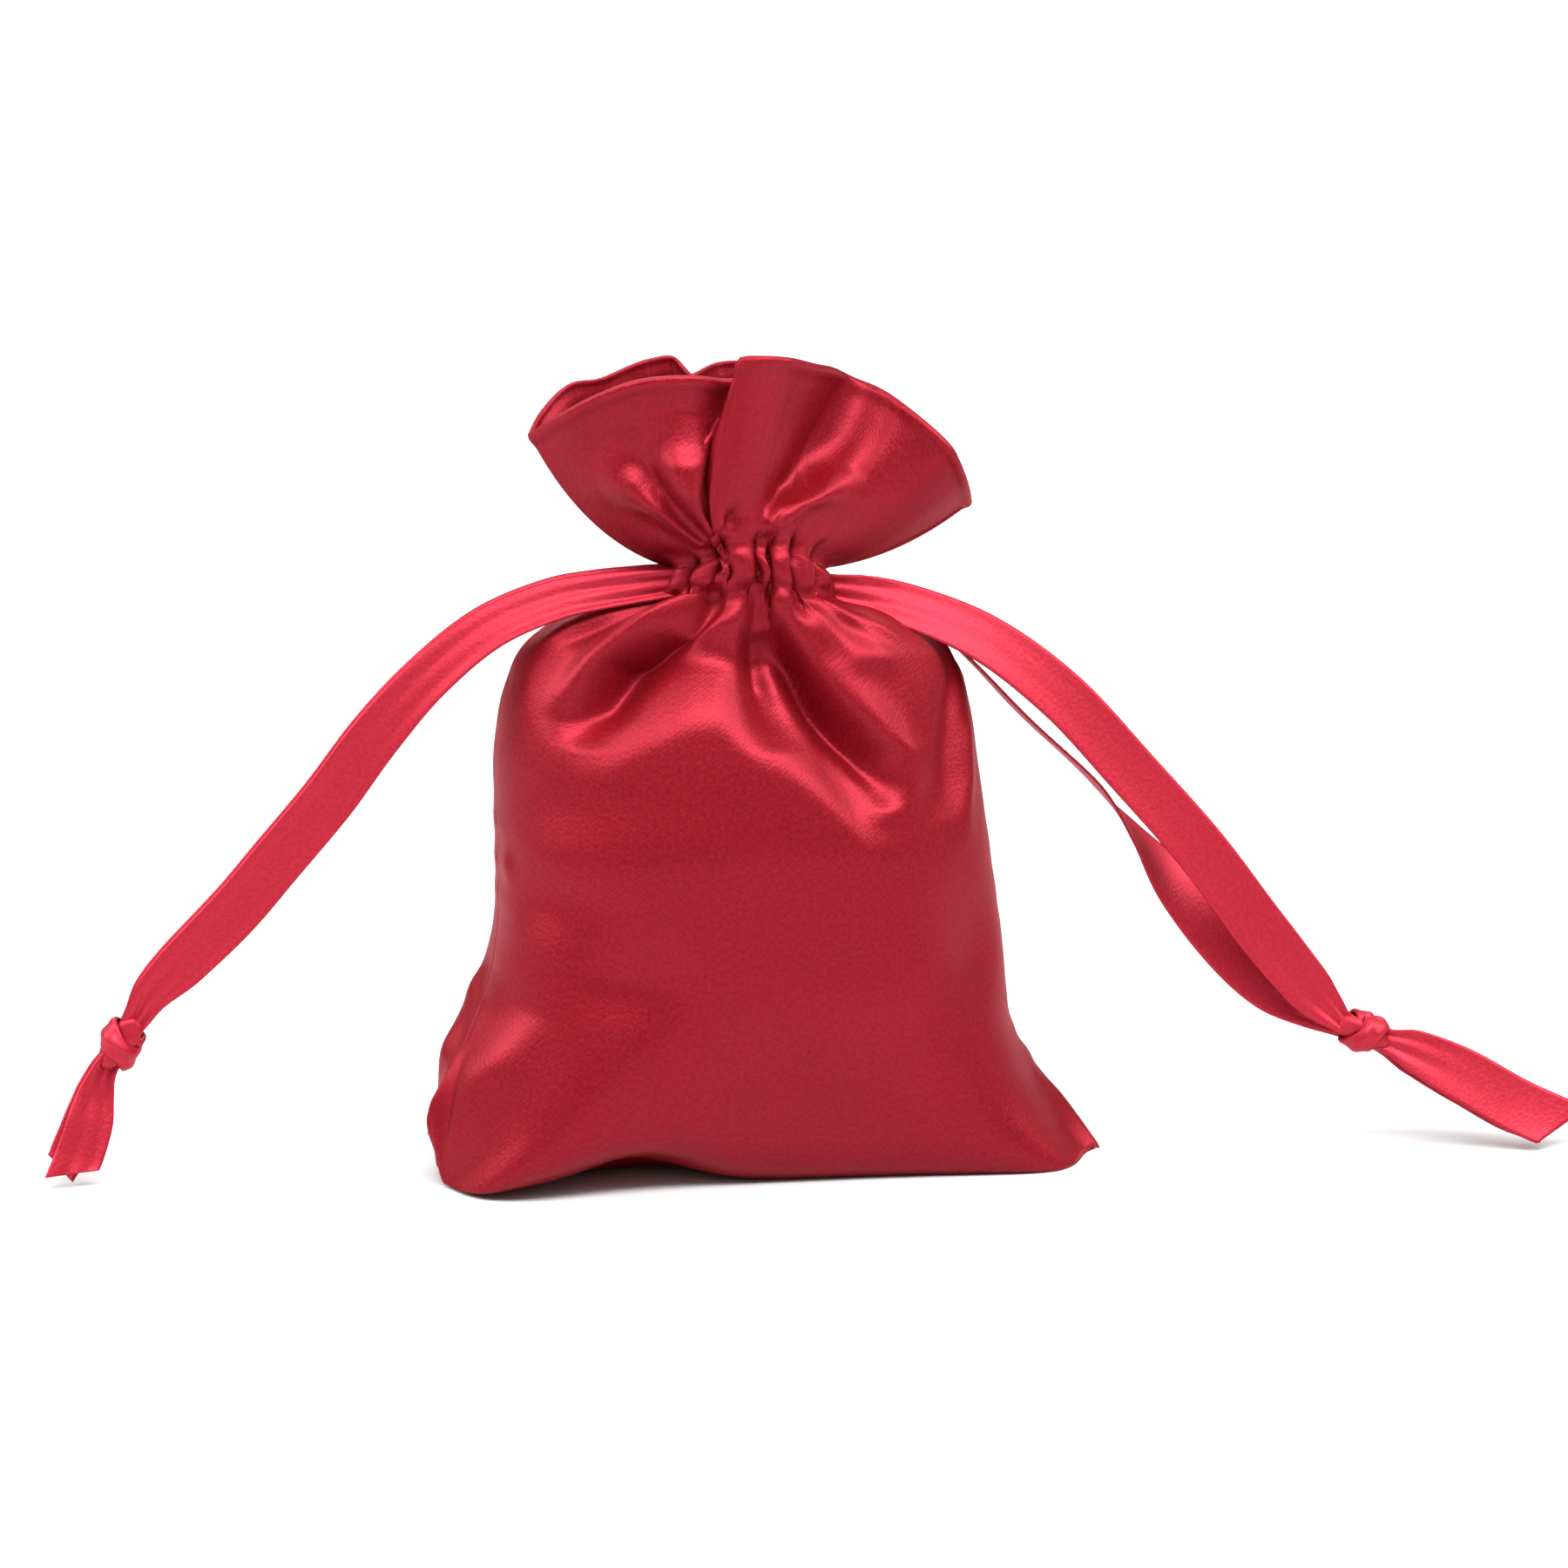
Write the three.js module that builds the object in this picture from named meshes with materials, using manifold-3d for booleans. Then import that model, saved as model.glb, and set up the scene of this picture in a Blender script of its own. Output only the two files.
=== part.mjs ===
// Satin gift bag: two satin panels sewn along the sides and the bottom, drawn shut by two ribbons.
// Millimetres, +Z up. The bag stands on Z = 0, faces -Y, and its width runs along X.
import * as THREE from "three";
import { mergeVertices } from "three/addons/utils/BufferGeometryUtils.js";
import Module from "manifold-3d";

const wasm = await Module();
wasm.setup();

// Cloth, ribbon and clearances
const WALL = 1.0;
const EAR_INSET = 0.5;
const GAP = 0.3;
const RIBBON_WIDTH = 7.0;
const RIBBON_THICK = 0.9;

// Neck: the casing, its tunnel for the ribbons and the hole left in the middle
const NECK_X = -1.8;
const NECK_HALF = 9.2;
const PLEAT_DEPTH = 0.7;
const PLEATS = 6;
const PLEAT_SPREAD = 7;
const TUNNEL_EASE = 0.1;
const TUNNEL_OUTER = NECK_HALF - PLEAT_DEPTH - WALL - TUNNEL_EASE;
const TUNNEL_WIDTH = 1.8;
const TUNNEL_INNER = TUNNEL_OUTER - TUNNEL_WIDTH;
const TUNNEL_LOW = 69;
const TUNNEL_HIGH = 73.7;
const TUNNEL_SEGMENTS = 10;
const HOLE_HALF = TUNNEL_INNER - WALL;
const SLIT_HALF = 3;
const SLIT_REACH = 5;

// The hidden stretch of each ribbon: bunched, and once round the neck inside the tunnel
const BUNCH_WIDTH = 1.9;
const BUNCH_THICK = 1.2;
const BUNCH_PITCH = (TUNNEL_HIGH - TUNNEL_LOW) / 2;
const RING_HALF = (TUNNEL_OUTER + TUNNEL_INNER) / 2;
const RING_SHORT = Math.PI / 9;
const RING_STEPS = 26;
const STRAND_STEPS = 26;
const TAIL_STEPS = 10;

// Cloth distances from the bottom seam, up a panel's middle
const NECK_LOW = 87.2;
const NECK_TOP = 95.6;
const RUFFLE = 25;
const RIM = NECK_TOP + RUFFLE;
const CASING_EASE = 2.5;

// The ruffle fans out from a point above the casing: its cloth stands up first, and droops at the side seams
const RUFFLE_CENTRE_Z = 76.5;
const RUFFLE_STAND = 0.35;
const RUFFLE_DROOP = -0.12;
const DROOP_POWER = 3;
const CORNER_FROM = 0.8;

// Folds rise and fall over these shares of their reach, and fade towards the side seams
const FOLD_RISE = 0.35;
const FOLD_FALL = 0.65;
const SEAM_FADE = 6;

// Grid of a panel: columns seam to seam, and rows over the base, body, neck and ruffle
const COLUMNS = 34;
const BASE_ROWS_END = 26;
const SLOPE_STEP = 0.004;
const WELD = 1e-4;
const ROW_SPANS = [
  { from: 0, to: BASE_ROWS_END, steps: 6 },
  { from: BASE_ROWS_END, to: NECK_LOW - CASING_EASE, steps: 12 },
  { from: NECK_LOW - CASING_EASE, to: NECK_LOW, steps: 1 },
  { from: NECK_LOW, to: NECK_TOP, steps: 3 },
  { from: NECK_TOP, to: NECK_TOP + CASING_EASE, steps: 1 },
  { from: NECK_TOP + CASING_EASE, to: RIM, steps: 7 },
];

// Sections from the bottom seam to the neck. left and right are the side seams; z is the height of the
// middle, which holds over the share flat of the width; front and back are depths; square is 2 for an oval.
const SECTIONS = [
  { cloth: 0, z: 0, front: 0, back: 0, square: 2, flat: 0.75,
    left: [-41.4, -4, 8.7], right: [41.2, -3.4, 0.5] },
  { cloth: 8, z: 0, front: 8.5, back: 8.5, square: 7, flat: 0.82,
    left: [-41.3, -4.6, 9.8], right: [40.6, -3.2, 1.8] },
  { cloth: 14, z: 0, front: 14, back: 14, square: 7, flat: 0.85,
    left: [-40.8, -5.2, 11.2], right: [39.4, -3, 3.8] },
  { cloth: 18.5, z: 2.6, front: 16.8, back: 16.8, square: 6, flat: 0.8,
    left: [-39.7, -5.7, 13.2], right: [37.2, -2.8, 6.4] },
  { cloth: 26, z: 10, front: 18.4, back: 18, square: 4, flat: 0.55,
    left: [-37.5, -6, 17.6], right: [33.4, -2.2, 10.8] },
  { cloth: 36, z: 20, front: 19.4, back: 19, square: 3, flat: 0.4,
    left: [-34.4, -4.2, 25], right: [30.3, -0.8, 18] },
  { cloth: 46, z: 30, front: 20, back: 19.8, square: 2.6, flat: 0.3,
    left: [-32.7, -1, 32.5], right: [29.4, 0.3, 28] },
  { cloth: 56, z: 40, front: 19.8, back: 19.8, square: 2.4, flat: 0.2,
    left: [-32.4, 2, 41], right: [28.2, 1, 38.5] },
  { cloth: 65, z: 49, front: 18.2, back: 18.2, square: 2.2, flat: 0.1,
    left: [-32.4, 3, 49.5], right: [27.2, 1.8, 48] },
  { cloth: 72.5, z: 56.3, front: 15.9, back: 15.9, square: 2.1, flat: 0,
    left: [-31.5, 3, 57], right: [26.2, 2, 55.6] },
  { cloth: 79, z: 61.8, front: 13.2, back: 13.2, square: 2, flat: 0,
    left: [-28.7, 2, 63.5], right: [23.8, 1.4, 62] },
  { cloth: 83.5, z: 65.4, front: 11.2, back: 11.2, square: 2, flat: 0,
    left: [-21.8, 1, 67], right: [17, 0.7, 65.8] },
  { cloth: 87.2, z: 68, front: 9.4, back: 9.4, square: 2, flat: 0,
    left: [-13.4, 0.2, 68], right: [9.4, 0.2, 67.8] },
  { cloth: 95.6, z: 76.6, front: 9, back: 9, square: 2, flat: 0,
    left: [-11.4, 0, 74.8], right: [7.8, 0, 74.5] },
];

// Folds that run down from the neck: where they start and end across the panel, how far down they reach,
// how wide they are and how far they stand out (a valley is negative).
const FOLDS = {
  front: [
    { fold: "left shoulder ridge", start: -0.78, end: -0.74, reach: 17, width: 0.07, height: 1.6 },
    { fold: "left valley rim", start: -0.62, end: -0.67, reach: 27, width: 0.08, height: 1.4 },
    { fold: "left valley", start: -0.47, end: -0.5, reach: 27, width: 0.1, height: -4 },
    { fold: "middle tongue", start: -0.2, end: -0.15, reach: 25, width: 0.15, height: 1.8 },
    { fold: "middle slit", start: 0.03, end: 0.05, reach: 14, width: 0.06, height: -2.2 },
    { fold: "right valley", start: 0.2, end: 0.34, reach: 34, width: 0.085, height: -3.4 },
    { fold: "right ridge", start: 0.36, end: 0.5, reach: 31, width: 0.08, height: 1.6 },
    { fold: "right shoulder dip", start: 0.62, end: 0.7, reach: 15, width: 0.08, height: -1.8 },
  ],
  back: [
    { fold: "left shoulder dip", start: -0.7, end: -0.76, reach: 18, width: 0.09, height: -2 },
    { fold: "left ridge", start: -0.5, end: -0.55, reach: 26, width: 0.09, height: 1.6 },
    { fold: "left valley", start: -0.28, end: -0.34, reach: 31, width: 0.09, height: -3.4 },
    { fold: "middle ridge", start: -0.02, end: 0, reach: 24, width: 0.14, height: 1.6 },
    { fold: "right valley", start: 0.26, end: 0.32, reach: 28, width: 0.09, height: -3.6 },
    { fold: "right ridge", start: 0.46, end: 0.54, reach: 24, width: 0.08, height: 1.6 },
    { fold: "right shoulder dip", start: 0.66, end: 0.74, reach: 16, width: 0.08, height: -1.8 },
  ],
};

// Local swells and dents: centre, spread across and along the cloth, and the way the cloth moves
const SWELLS = {
  front: [
    { swell: "arch at the front edge", at: -0.36, cloth: 13, across: 0.17, along: 8, move: [0, 1.6, 4.4] },
    { swell: "left base corner", at: -0.8, cloth: 14, across: 0.15, along: 7, move: [0, 2.4, 0] },
    { swell: "left waist crease", at: -0.75, cloth: 50, across: 0.2, along: 4, move: [0.6, 1.4, 0] },
    { swell: "lower middle dent", at: -0.35, cloth: 38, across: 0.2, along: 8, move: [0, 1.2, 0] },
    { swell: "left ruffle finger", at: -0.62, cloth: 104, across: 0.07, along: 5, move: [0, -1.8, 0] },
    { swell: "tall ruffle finger", at: -0.34, cloth: 106, across: 0.06, along: 6, move: [0, -2, 0] },
    { swell: "hollow beside the pleat", at: 0.34, cloth: 109, across: 0.09, along: 8, move: [0, 2, 0] },
  ],
  back: [
    { swell: "left swell by the seam", at: -0.84, cloth: 24, across: 0.14, along: 13, move: [-3.4, 0.6, 0] },
    { swell: "lower middle dent", at: 0.25, cloth: 40, across: 0.25, along: 9, move: [0, -1.4, 0] },
    { swell: "right waist crease", at: 0.7, cloth: 54, across: 0.2, along: 4, move: [-0.6, -1.2, 0] },
    { swell: "ruffle finger", at: 0.2, cloth: 105, across: 0.07, along: 6, move: [0, 1.6, 0] },
  ],
};

// The ruffle's rim, petal by petal: fan is the angle from upright, reach the distance from the neck,
// and lean how far the rim stands off the bag's middle plane.
const RIM_ROWS = {
  front: [
    { rib: "left corner", at: -1, fan: -62.7, reach: 30, lean: 1 },
    { rib: "left edge", at: -0.78, fan: -51, reach: 28.4, lean: 6.6 },
    { rib: "left petal", at: -0.5, fan: -38, reach: 26.3, lean: 8.8 },
    { rib: "left petal end", at: -0.25, fan: -22, reach: 23, lean: 8 },
    { rib: "tuck", at: -0.09, fan: -9.2, reach: 20.7, lean: 5 },
    { rib: "pleat edge", at: 0.02, fan: -3.6, reach: 24, lean: 9.8 },
    { rib: "pleat", at: 0.15, fan: 6.6, reach: 23.5, lean: 8.8 },
    { rib: "hollow", at: 0.3, fan: 21, reach: 23, lean: 4.8 },
    { rib: "right petal", at: 0.52, fan: 39, reach: 24.2, lean: 5.6 },
    { rib: "right petal end", at: 0.72, fan: 55, reach: 25.4, lean: 6 },
    { rib: "right edge", at: 0.87, fan: 71, reach: 26.9, lean: 3.8 },
    { rib: "right corner", at: 1, fan: 82.5, reach: 28.2, lean: 0 },
  ],
  back: [
    { rib: "left corner", at: -1, fan: -62.7, reach: 30, lean: -1 },
    { rib: "left edge", at: -0.86, fan: -57, reach: 29.3, lean: 2.6 },
    { rib: "left fold", at: -0.7, fan: -47.5, reach: 28, lean: 4.8 },
    { rib: "left fold end", at: -0.58, fan: -41, reach: 25.9, lean: 4.2 },
    { rib: "left petal", at: -0.4, fan: -26, reach: 23.9, lean: 6.2 },
    { rib: "left petal end", at: -0.3, fan: -19.5, reach: 22.9, lean: 7 },
    { rib: "notch", at: -0.21, fan: -16, reach: 20.4, lean: 5 },
    { rib: "middle petal", at: 0, fan: -3, reach: 20.6, lean: 8.6 },
    { rib: "middle petal end", at: 0.3, fan: 21, reach: 20.8, lean: 8.4 },
    { rib: "right petal", at: 0.55, fan: 41, reach: 22.5, lean: 7.2 },
    { rib: "right edge", at: 0.78, fan: 61, reach: 25, lean: 5 },
    { rib: "right corner", at: 1, fan: 82.5, reach: 28.2, lean: 0 },
  ],
};

// Ribbon routes from the seam slits to the knots. face is the tilt of the ribbon's flat side, from 0
// facing forward to 90 facing up; wide is the share of the ribbon's width that is spread out; apart is
// how far behind the front strand a twin back strand runs.
const STRANDS = {
  left: [
    { place: [-13.6, -1.3, 72.2], face: 5, wide: 0.4, apart: 2.6 },
    { place: [-16.4, -1.2, 71.6], face: 20, wide: 0.65, apart: 2.4 },
    { place: [-20.4, -0.9, 70.6], face: 30, wide: 0.8, apart: 2 },
    { place: [-25.3, -0.7, 69.5], face: 36, wide: 0.8, apart: 1.7 },
    { place: [-33.4, -0.4, 66.5], face: 38, wide: 0.8, apart: 1.5 },
    { place: [-41, -0.3, 60.9], face: 34, wide: 0.82, apart: 1.5 },
    { place: [-47.3, 0.1, 54], face: 30, wide: 0.88, apart: 1.5 },
    { place: [-53, 0.4, 46.5], face: 26, wide: 0.9, apart: 1.5 },
    { place: [-59.3, 0.9, 39.1], face: 24, wide: 0.9, apart: 1.5 },
    { place: [-64.5, 1.5, 33], face: 24, wide: 0.9, apart: 1.5 },
    { place: [-70.7, 2.2, 26.8], face: 22, wide: 0.84, apart: 1.5 },
    { place: [-74.5, 2.9, 23], face: 18, wide: 0.64, apart: 1.5 },
    { place: [-76.2, 3.3, 20.2], face: 15, wide: 0.46, apart: 1.4 },
  ],
  right_front: [
    { place: [9.9, -1.3, 70.4], face: 5, wide: 0.33 },
    { place: [12.6, -1.7, 69.6], face: 20, wide: 0.6 },
    { place: [17.3, -2.8, 68.3], face: 34, wide: 0.8 },
    { place: [26.7, -4.2, 64.1], face: 36, wide: 0.94 },
    { place: [36.1, -5.7, 56.9], face: 30, wide: 0.97 },
    { place: [44.7, -7.5, 47.4], face: 24, wide: 0.97 },
    { place: [53.2, -9.3, 37.5], face: 20, wide: 0.97 },
    { place: [60.5, -11.1, 27.5], face: 18, wide: 0.97 },
    { place: [66.2, -12.6, 20.3], face: 16, wide: 0.88 },
    { place: [68.9, -13.2, 17.3], face: 14, wide: 0.62 },
    { place: [70.5, -13.6, 15.8], face: 12, wide: 0.42 },
  ],
  right_back: [
    { place: [9.9, 1.3, 70.4], face: 5, wide: 0.33 },
    { place: [12.8, 1.8, 69.6], face: 30, wide: 0.5 },
    { place: [17.3, 1.9, 67.6], face: 66, wide: 0.8 },
    { place: [23.9, 1.4, 62.8], face: 92, wide: 1 },
    { place: [32.7, -0.4, 53.5], face: 98, wide: 1 },
    { place: [41.2, -2.4, 45.2], face: 98, wide: 1 },
    { place: [46.8, -4.1, 38], face: 84, wide: 1 },
    { place: [51.8, -5.9, 31.2], face: 54, wide: 1 },
    { place: [57.1, -7.7, 25], face: 28, wide: 1 },
    { place: [62.3, -9.6, 19.6], face: 16, wide: 0.85 },
    { place: [67.4, -11.2, 16.6], face: 14, wide: 0.6 },
    { place: [70.3, -12.1, 15.2], face: 12, wide: 0.42 },
  ],
};

// Cut ends below the knots
const TAILS = {
  left_front: [
    { place: [-80.6, 3.6, 13.3], face: 12, wide: 0.45 },
    { place: [-81.5, 3.2, 11], face: 16, wide: 0.62 },
    { place: [-82.6, 1.8, 7.3], face: 20, wide: 0.74 },
    { place: [-84.2, 0.4, 3.4], face: 24, wide: 0.66 },
    { place: [-85.6, -0.4, 1.3], face: 26, wide: 0.34 },
  ],
  left_back: [
    { place: [-80.7, 5.1, 13.2], face: 12, wide: 0.45 },
    { place: [-81.7, 4.9, 10.8], face: 16, wide: 0.6 },
    { place: [-83, 3.8, 7.2], face: 20, wide: 0.66 },
    { place: [-84.8, 2.6, 3.6], face: 24, wide: 0.56 },
    { place: [-86.4, 2, 1.4], face: 26, wide: 0.3 },
  ],
  right_front: [
    { place: [76, -14.8, 13.4], face: 12, wide: 0.45 },
    { place: [79, -15.6, 12.3], face: 18, wide: 0.75 },
    { place: [85.3, -17.3, 9.1], face: 26, wide: 0.97 },
    { place: [91.6, -19, 5.4], face: 32, wide: 1 },
    { place: [97, -20.5, 2.9], face: 36, wide: 1 },
  ],
  right_back: [
    { place: [76, -13.3, 13], face: 12, wide: 0.45 },
    { place: [79, -14, 11.7], face: 18, wide: 0.75 },
    { place: [85.3, -15.5, 8.4], face: 26, wide: 0.95 },
    { place: [90.6, -16.9, 5], face: 32, wide: 0.9 },
    { place: [94.4, -17.8, 3], face: 36, wide: 0.7 },
  ],
};

// Knots: middle, the way the ribbon runs through, length and girth. Each is a waisted barrel with two
// wraps slung round it; radius, lift and cord are shares of the girth, at and shift shares of the length.
const KNOTS = {
  left: { place: [-78.4, 4.1, 16.7], along: [-0.55, 0.05, -0.83], length: 7, girth: 2.3 },
  right: { place: [73.2, -13.7, 14.4], along: [0.88, -0.2, -0.43], length: 5, girth: 2.2 },
};
const BARREL = [
  { at: -0.5, radius: 0.72 },
  { at: -0.22, radius: 1 },
  { at: 0, radius: 0.9 },
  { at: 0.22, radius: 1 },
  { at: 0.5, radius: 0.72 },
];
const WRAPS = [
  { slant: -0.5, shift: -0.12 },
  { slant: 0.45, shift: 0.11 },
];
const WRAP_LIFT = 0.92;
const WRAP_CORD = 0.34;
const KNOT_SIDES = 10;
const WRAP_SIDES = 5;

const SATIN = { color: 0xa9223a, roughness: 0.42, metalness: 0 };
const RIBBON = { color: 0xcf3049, roughness: 0.36, metalness: 0 };

const clamp = THREE.MathUtils.clamp;
const lerp = THREE.MathUtils.lerp;
const ease = (from, to, v) => THREE.MathUtils.smoothstep(v, from, to);
const bell = (v) => Math.exp(-v * v);

// A smooth curve through a table's column that never swings past its rows
function column(rows, key, read) {
  const x = rows.map((row) => row[key]);
  const y = rows.map(read);
  const last = rows.length - 1;
  const slope = x.slice(1).map((v, i) => (y[i + 1] - y[i]) / (v - x[i]));
  const turn = y.map((_, i) => {
    if (i === 0 || i === last) return slope[Math.min(i, last - 1)];
    const [a, b] = [slope[i - 1], slope[i]];
    return a * b <= 0 ? 0 : (2 * a * b) / (a + b);
  });
  return (v) => {
    let i = 0;
    while (i < last - 1 && v > x[i + 1]) i += 1;
    const step = x[i + 1] - x[i];
    const q = clamp((v - x[i]) / step, 0, 1);
    const [q2, q3] = [q * q, q * q * q];
    return (2 * q3 - 3 * q2 + 1) * y[i] + (q3 - 2 * q2 + q) * step * turn[i]
      + (3 * q2 - 2 * q3) * y[i + 1] + (q3 - q2) * step * turn[i + 1];
  };
}

const section = {
  z: column(SECTIONS, "cloth", (row) => row.z),
  front: column(SECTIONS, "cloth", (row) => row.front),
  back: column(SECTIONS, "cloth", (row) => row.back),
  square: column(SECTIONS, "cloth", (row) => row.square),
  flat: column(SECTIONS, "cloth", (row) => row.flat),
  left: [0, 1, 2].map((axis) => column(SECTIONS, "cloth", (row) => row.left[axis])),
  right: [0, 1, 2].map((axis) => column(SECTIONS, "cloth", (row) => row.right[axis])),
};

const rim = {};
for (const panel of ["front", "back"]) {
  rim[panel] = {};
  for (const key of ["fan", "reach", "lean"]) {
    rim[panel][key] = column(RIM_ROWS[panel], "at", (row) => row[key]);
  }
}

const sideOf = (panel) => (panel === "front" ? -1 : 1);

// Distance of the seam plane from Y = 0, across the panel
function seamPlane(s, cloth) {
  return section.left[1](cloth) * ease(0, 1, -s) + section.right[1](cloth) * ease(0, 1, s);
}

// A point on the smooth bag below the ruffle, and the way its cloth faces
function bodyPoint(panel, s, cloth) {
  const side = sideOf(panel);
  const turn = (s * Math.PI) / 2;
  const square = section.square(cloth);
  const across = Math.sin(turn);
  const bulge = Math.max(1 - Math.abs(across) ** square, 0) ** (1 / square);
  const [left, right] = [section.left[0](cloth), section.right[0](cloth)];
  const depth = section[panel](cloth);
  const flat = section.flat(cloth);
  const z = section.z(cloth);
  const half = (right - left) / 2;
  const point = new THREE.Vector3(
    (left + right) / 2 + half * across,
    seamPlane(s, cloth) + side * (GAP / 2 + depth * bulge),
    z + (section.left[2](cloth) - z) * ease(flat, 1, -s) + (section.right[2](cloth) - z) * ease(flat, 1, s),
  );
  const facing = new THREE.Vector3(across * depth, side * bulge * half, 0);
  return { point, facing: facing.lengthSq() > 0 ? facing.normalize() : new THREE.Vector3(0, side, 0) };
}

// How far the folds and the neck's pleats push the cloth out
function foldHeight(panel, s, cloth) {
  let height = PLEAT_DEPTH * Math.cos(PLEATS * Math.PI * (s + 1))
    * bell((cloth - (NECK_LOW + NECK_TOP) / 2) / PLEAT_SPREAD);
  for (const fold of FOLDS[panel]) {
    const down = (NECK_LOW - cloth) / fold.reach;
    if (down <= 0 || down >= 1) continue;
    const share = ease(0, FOLD_RISE, down) * (1 - ease(FOLD_FALL, 1, down));
    height += fold.height * share * bell((s - lerp(fold.start, fold.end, down)) / fold.width);
  }
  return height * (1 - s ** SEAM_FADE);
}

// A point on the ruffle, which leaves the casing upright and fans out to its rim
function rufflePoint(panel, s, cloth) {
  const side = sideOf(panel);
  const turn = (s * Math.PI) / 2;
  const { point: foot } = bodyPoint(panel, s, NECK_TOP);
  const fan = THREE.MathUtils.degToRad(rim[panel].fan(s));
  const reach = rim[panel].reach(s);
  const tip = new THREE.Vector3(
    NECK_X + reach * Math.sin(fan),
    side * (GAP / 2 + rim[panel].lean(s)),
    RUFFLE_CENTRE_Z + reach * Math.cos(fan),
  );
  const rise = lerp(1, RUFFLE_DROOP, Math.abs(s) ** DROOP_POWER);
  const stand = new THREE.Vector3(Math.sin(turn), 0, rise).multiplyScalar(RUFFLE_STAND * reach);
  const point = new THREE.QuadraticBezierCurve3(foot, foot.clone().add(stand), tip)
    .getPoint((cloth - NECK_TOP) / RUFFLE);
  return { point, facing: new THREE.Vector3(Math.sin(turn), side * Math.cos(turn), 0) };
}

// The panel's outer face
function outerPoint(panel, s, cloth) {
  const smooth = cloth <= NECK_TOP ? bodyPoint : rufflePoint;
  const { point, facing } = smooth(panel, s, cloth);
  point.addScaledVector(facing, foldHeight(panel, s, cloth));
  for (const { at, cloth: row, across, along, move } of SWELLS[panel]) {
    const share = bell((s - at) / across) * bell((cloth - row) / along) * (1 - s ** SEAM_FADE);
    point.addScaledVector(new THREE.Vector3(...move), share);
  }
  return point;
}

// The panel's inner face: one wall in from the outer face, and out to the neck's hole at the casing
function innerPoint(panel, s, cloth) {
  const side = sideOf(panel);
  const [s0, s1] = [Math.max(s - SLOPE_STEP, -1), Math.min(s + SLOPE_STEP, 1)];
  const [c0, c1] = [Math.max(cloth - SLOPE_STEP, 0), Math.min(cloth + SLOPE_STEP, RIM)];
  const across = outerPoint(panel, s1, cloth).sub(outerPoint(panel, s0, cloth));
  const along = outerPoint(panel, s, c1).sub(outerPoint(panel, s, c0));
  const normal = across.cross(along).normalize().multiplyScalar(-side);
  const point = outerPoint(panel, s, cloth).addScaledVector(normal, -WALL);
  const up = Math.max(cloth - NECK_TOP, 0) / RUFFLE;
  const corner = -rim.front.lean(-1) * ease(CORNER_FROM, 1, -s) * up;
  const plane = up > 0 ? corner : seamPlane(s, cloth);
  const limit = plane + side * (GAP / 2);
  point.y = side < 0 ? Math.min(point.y, limit) : Math.max(point.y, limit);
  if (cloth < NECK_LOW) {
    point.x = clamp(point.x, section.left[0](cloth) + EAR_INSET, section.right[0](cloth) - EAR_INSET);
  }
  const above = ease(NECK_TOP, NECK_TOP + CASING_EASE, cloth);
  const casing = ease(NECK_LOW - CASING_EASE, NECK_LOW, cloth) * (1 - above);
  const turn = (s * Math.PI) / 2;
  const hole = new THREE.Vector3(
    NECK_X + HOLE_HALF * Math.sin(turn),
    side * (GAP / 2 + HOLE_HALF * Math.cos(turn)),
    point.z,
  );
  return point.lerp(hole, casing);
}

// A closed sheet from an outer and an inner face, each a grid of points
function sheet(outer, inner) {
  const [rows, columns] = [outer.length, outer[0].length];
  const points = [...outer.flat(), ...inner.flat()];
  const shift = rows * columns;
  const index = [];
  const quad = (a, b, c, d) => index.push(a, b, c, a, c, d);
  const id = (j, i) => j * columns + i;
  for (let j = 0; j < rows - 1; j += 1) {
    for (let i = 0; i < columns - 1; i += 1) {
      const [a, b, c, d] = [id(j, i), id(j, i + 1), id(j + 1, i + 1), id(j + 1, i)];
      quad(a, b, c, d);
      quad(d + shift, c + shift, b + shift, a + shift);
    }
  }
  for (let i = 0; i < columns - 1; i += 1) {
    const [low, high] = [id(0, i), id(rows - 1, i)];
    quad(low + 1, low, low + shift, low + 1 + shift);
    quad(high, high + 1, high + 1 + shift, high + shift);
  }
  for (let j = 0; j < rows - 1; j += 1) {
    const [near, far] = [id(j, 0), id(j, columns - 1)];
    quad(near, near + columns, near + columns + shift, near + shift);
    quad(far + columns, far, far + shift, far + columns + shift);
  }
  return closedGeometry(points, index);
}

// Closed geometry with its faces turned outward
function closedGeometry(points, index) {
  let volume = 0;
  for (let i = 0; i < index.length; i += 3) {
    const [a, b, c] = [points[index[i]], points[index[i + 1]], points[index[i + 2]]];
    volume += a.dot(b.clone().cross(c));
  }
  const geometry = new THREE.BufferGeometry();
  geometry.setFromPoints(points);
  geometry.setIndex(volume < 0 ? index.slice().reverse() : index);
  return geometry;
}

function solidOf(geometry) {
  const bare = geometry.clone();
  bare.deleteAttribute("normal");
  bare.deleteAttribute("uv");
  const merged = mergeVertices(bare, WELD);
  return new wasm.Manifold(new wasm.Mesh({
    numProp: 3,
    vertProperties: new Float32Array(merged.attributes.position.array),
    triVerts: new Uint32Array(merged.index.array),
  }));
}

function geometryOf(solid) {
  const mesh = solid.getMesh();
  const geometry = new THREE.BufferGeometry();
  geometry.setAttribute("position", new THREE.BufferAttribute(new Float32Array(mesh.vertProperties), 3));
  geometry.setIndex(new THREE.BufferAttribute(new Uint32Array(mesh.triVerts), 1));
  return geometry;
}

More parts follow.
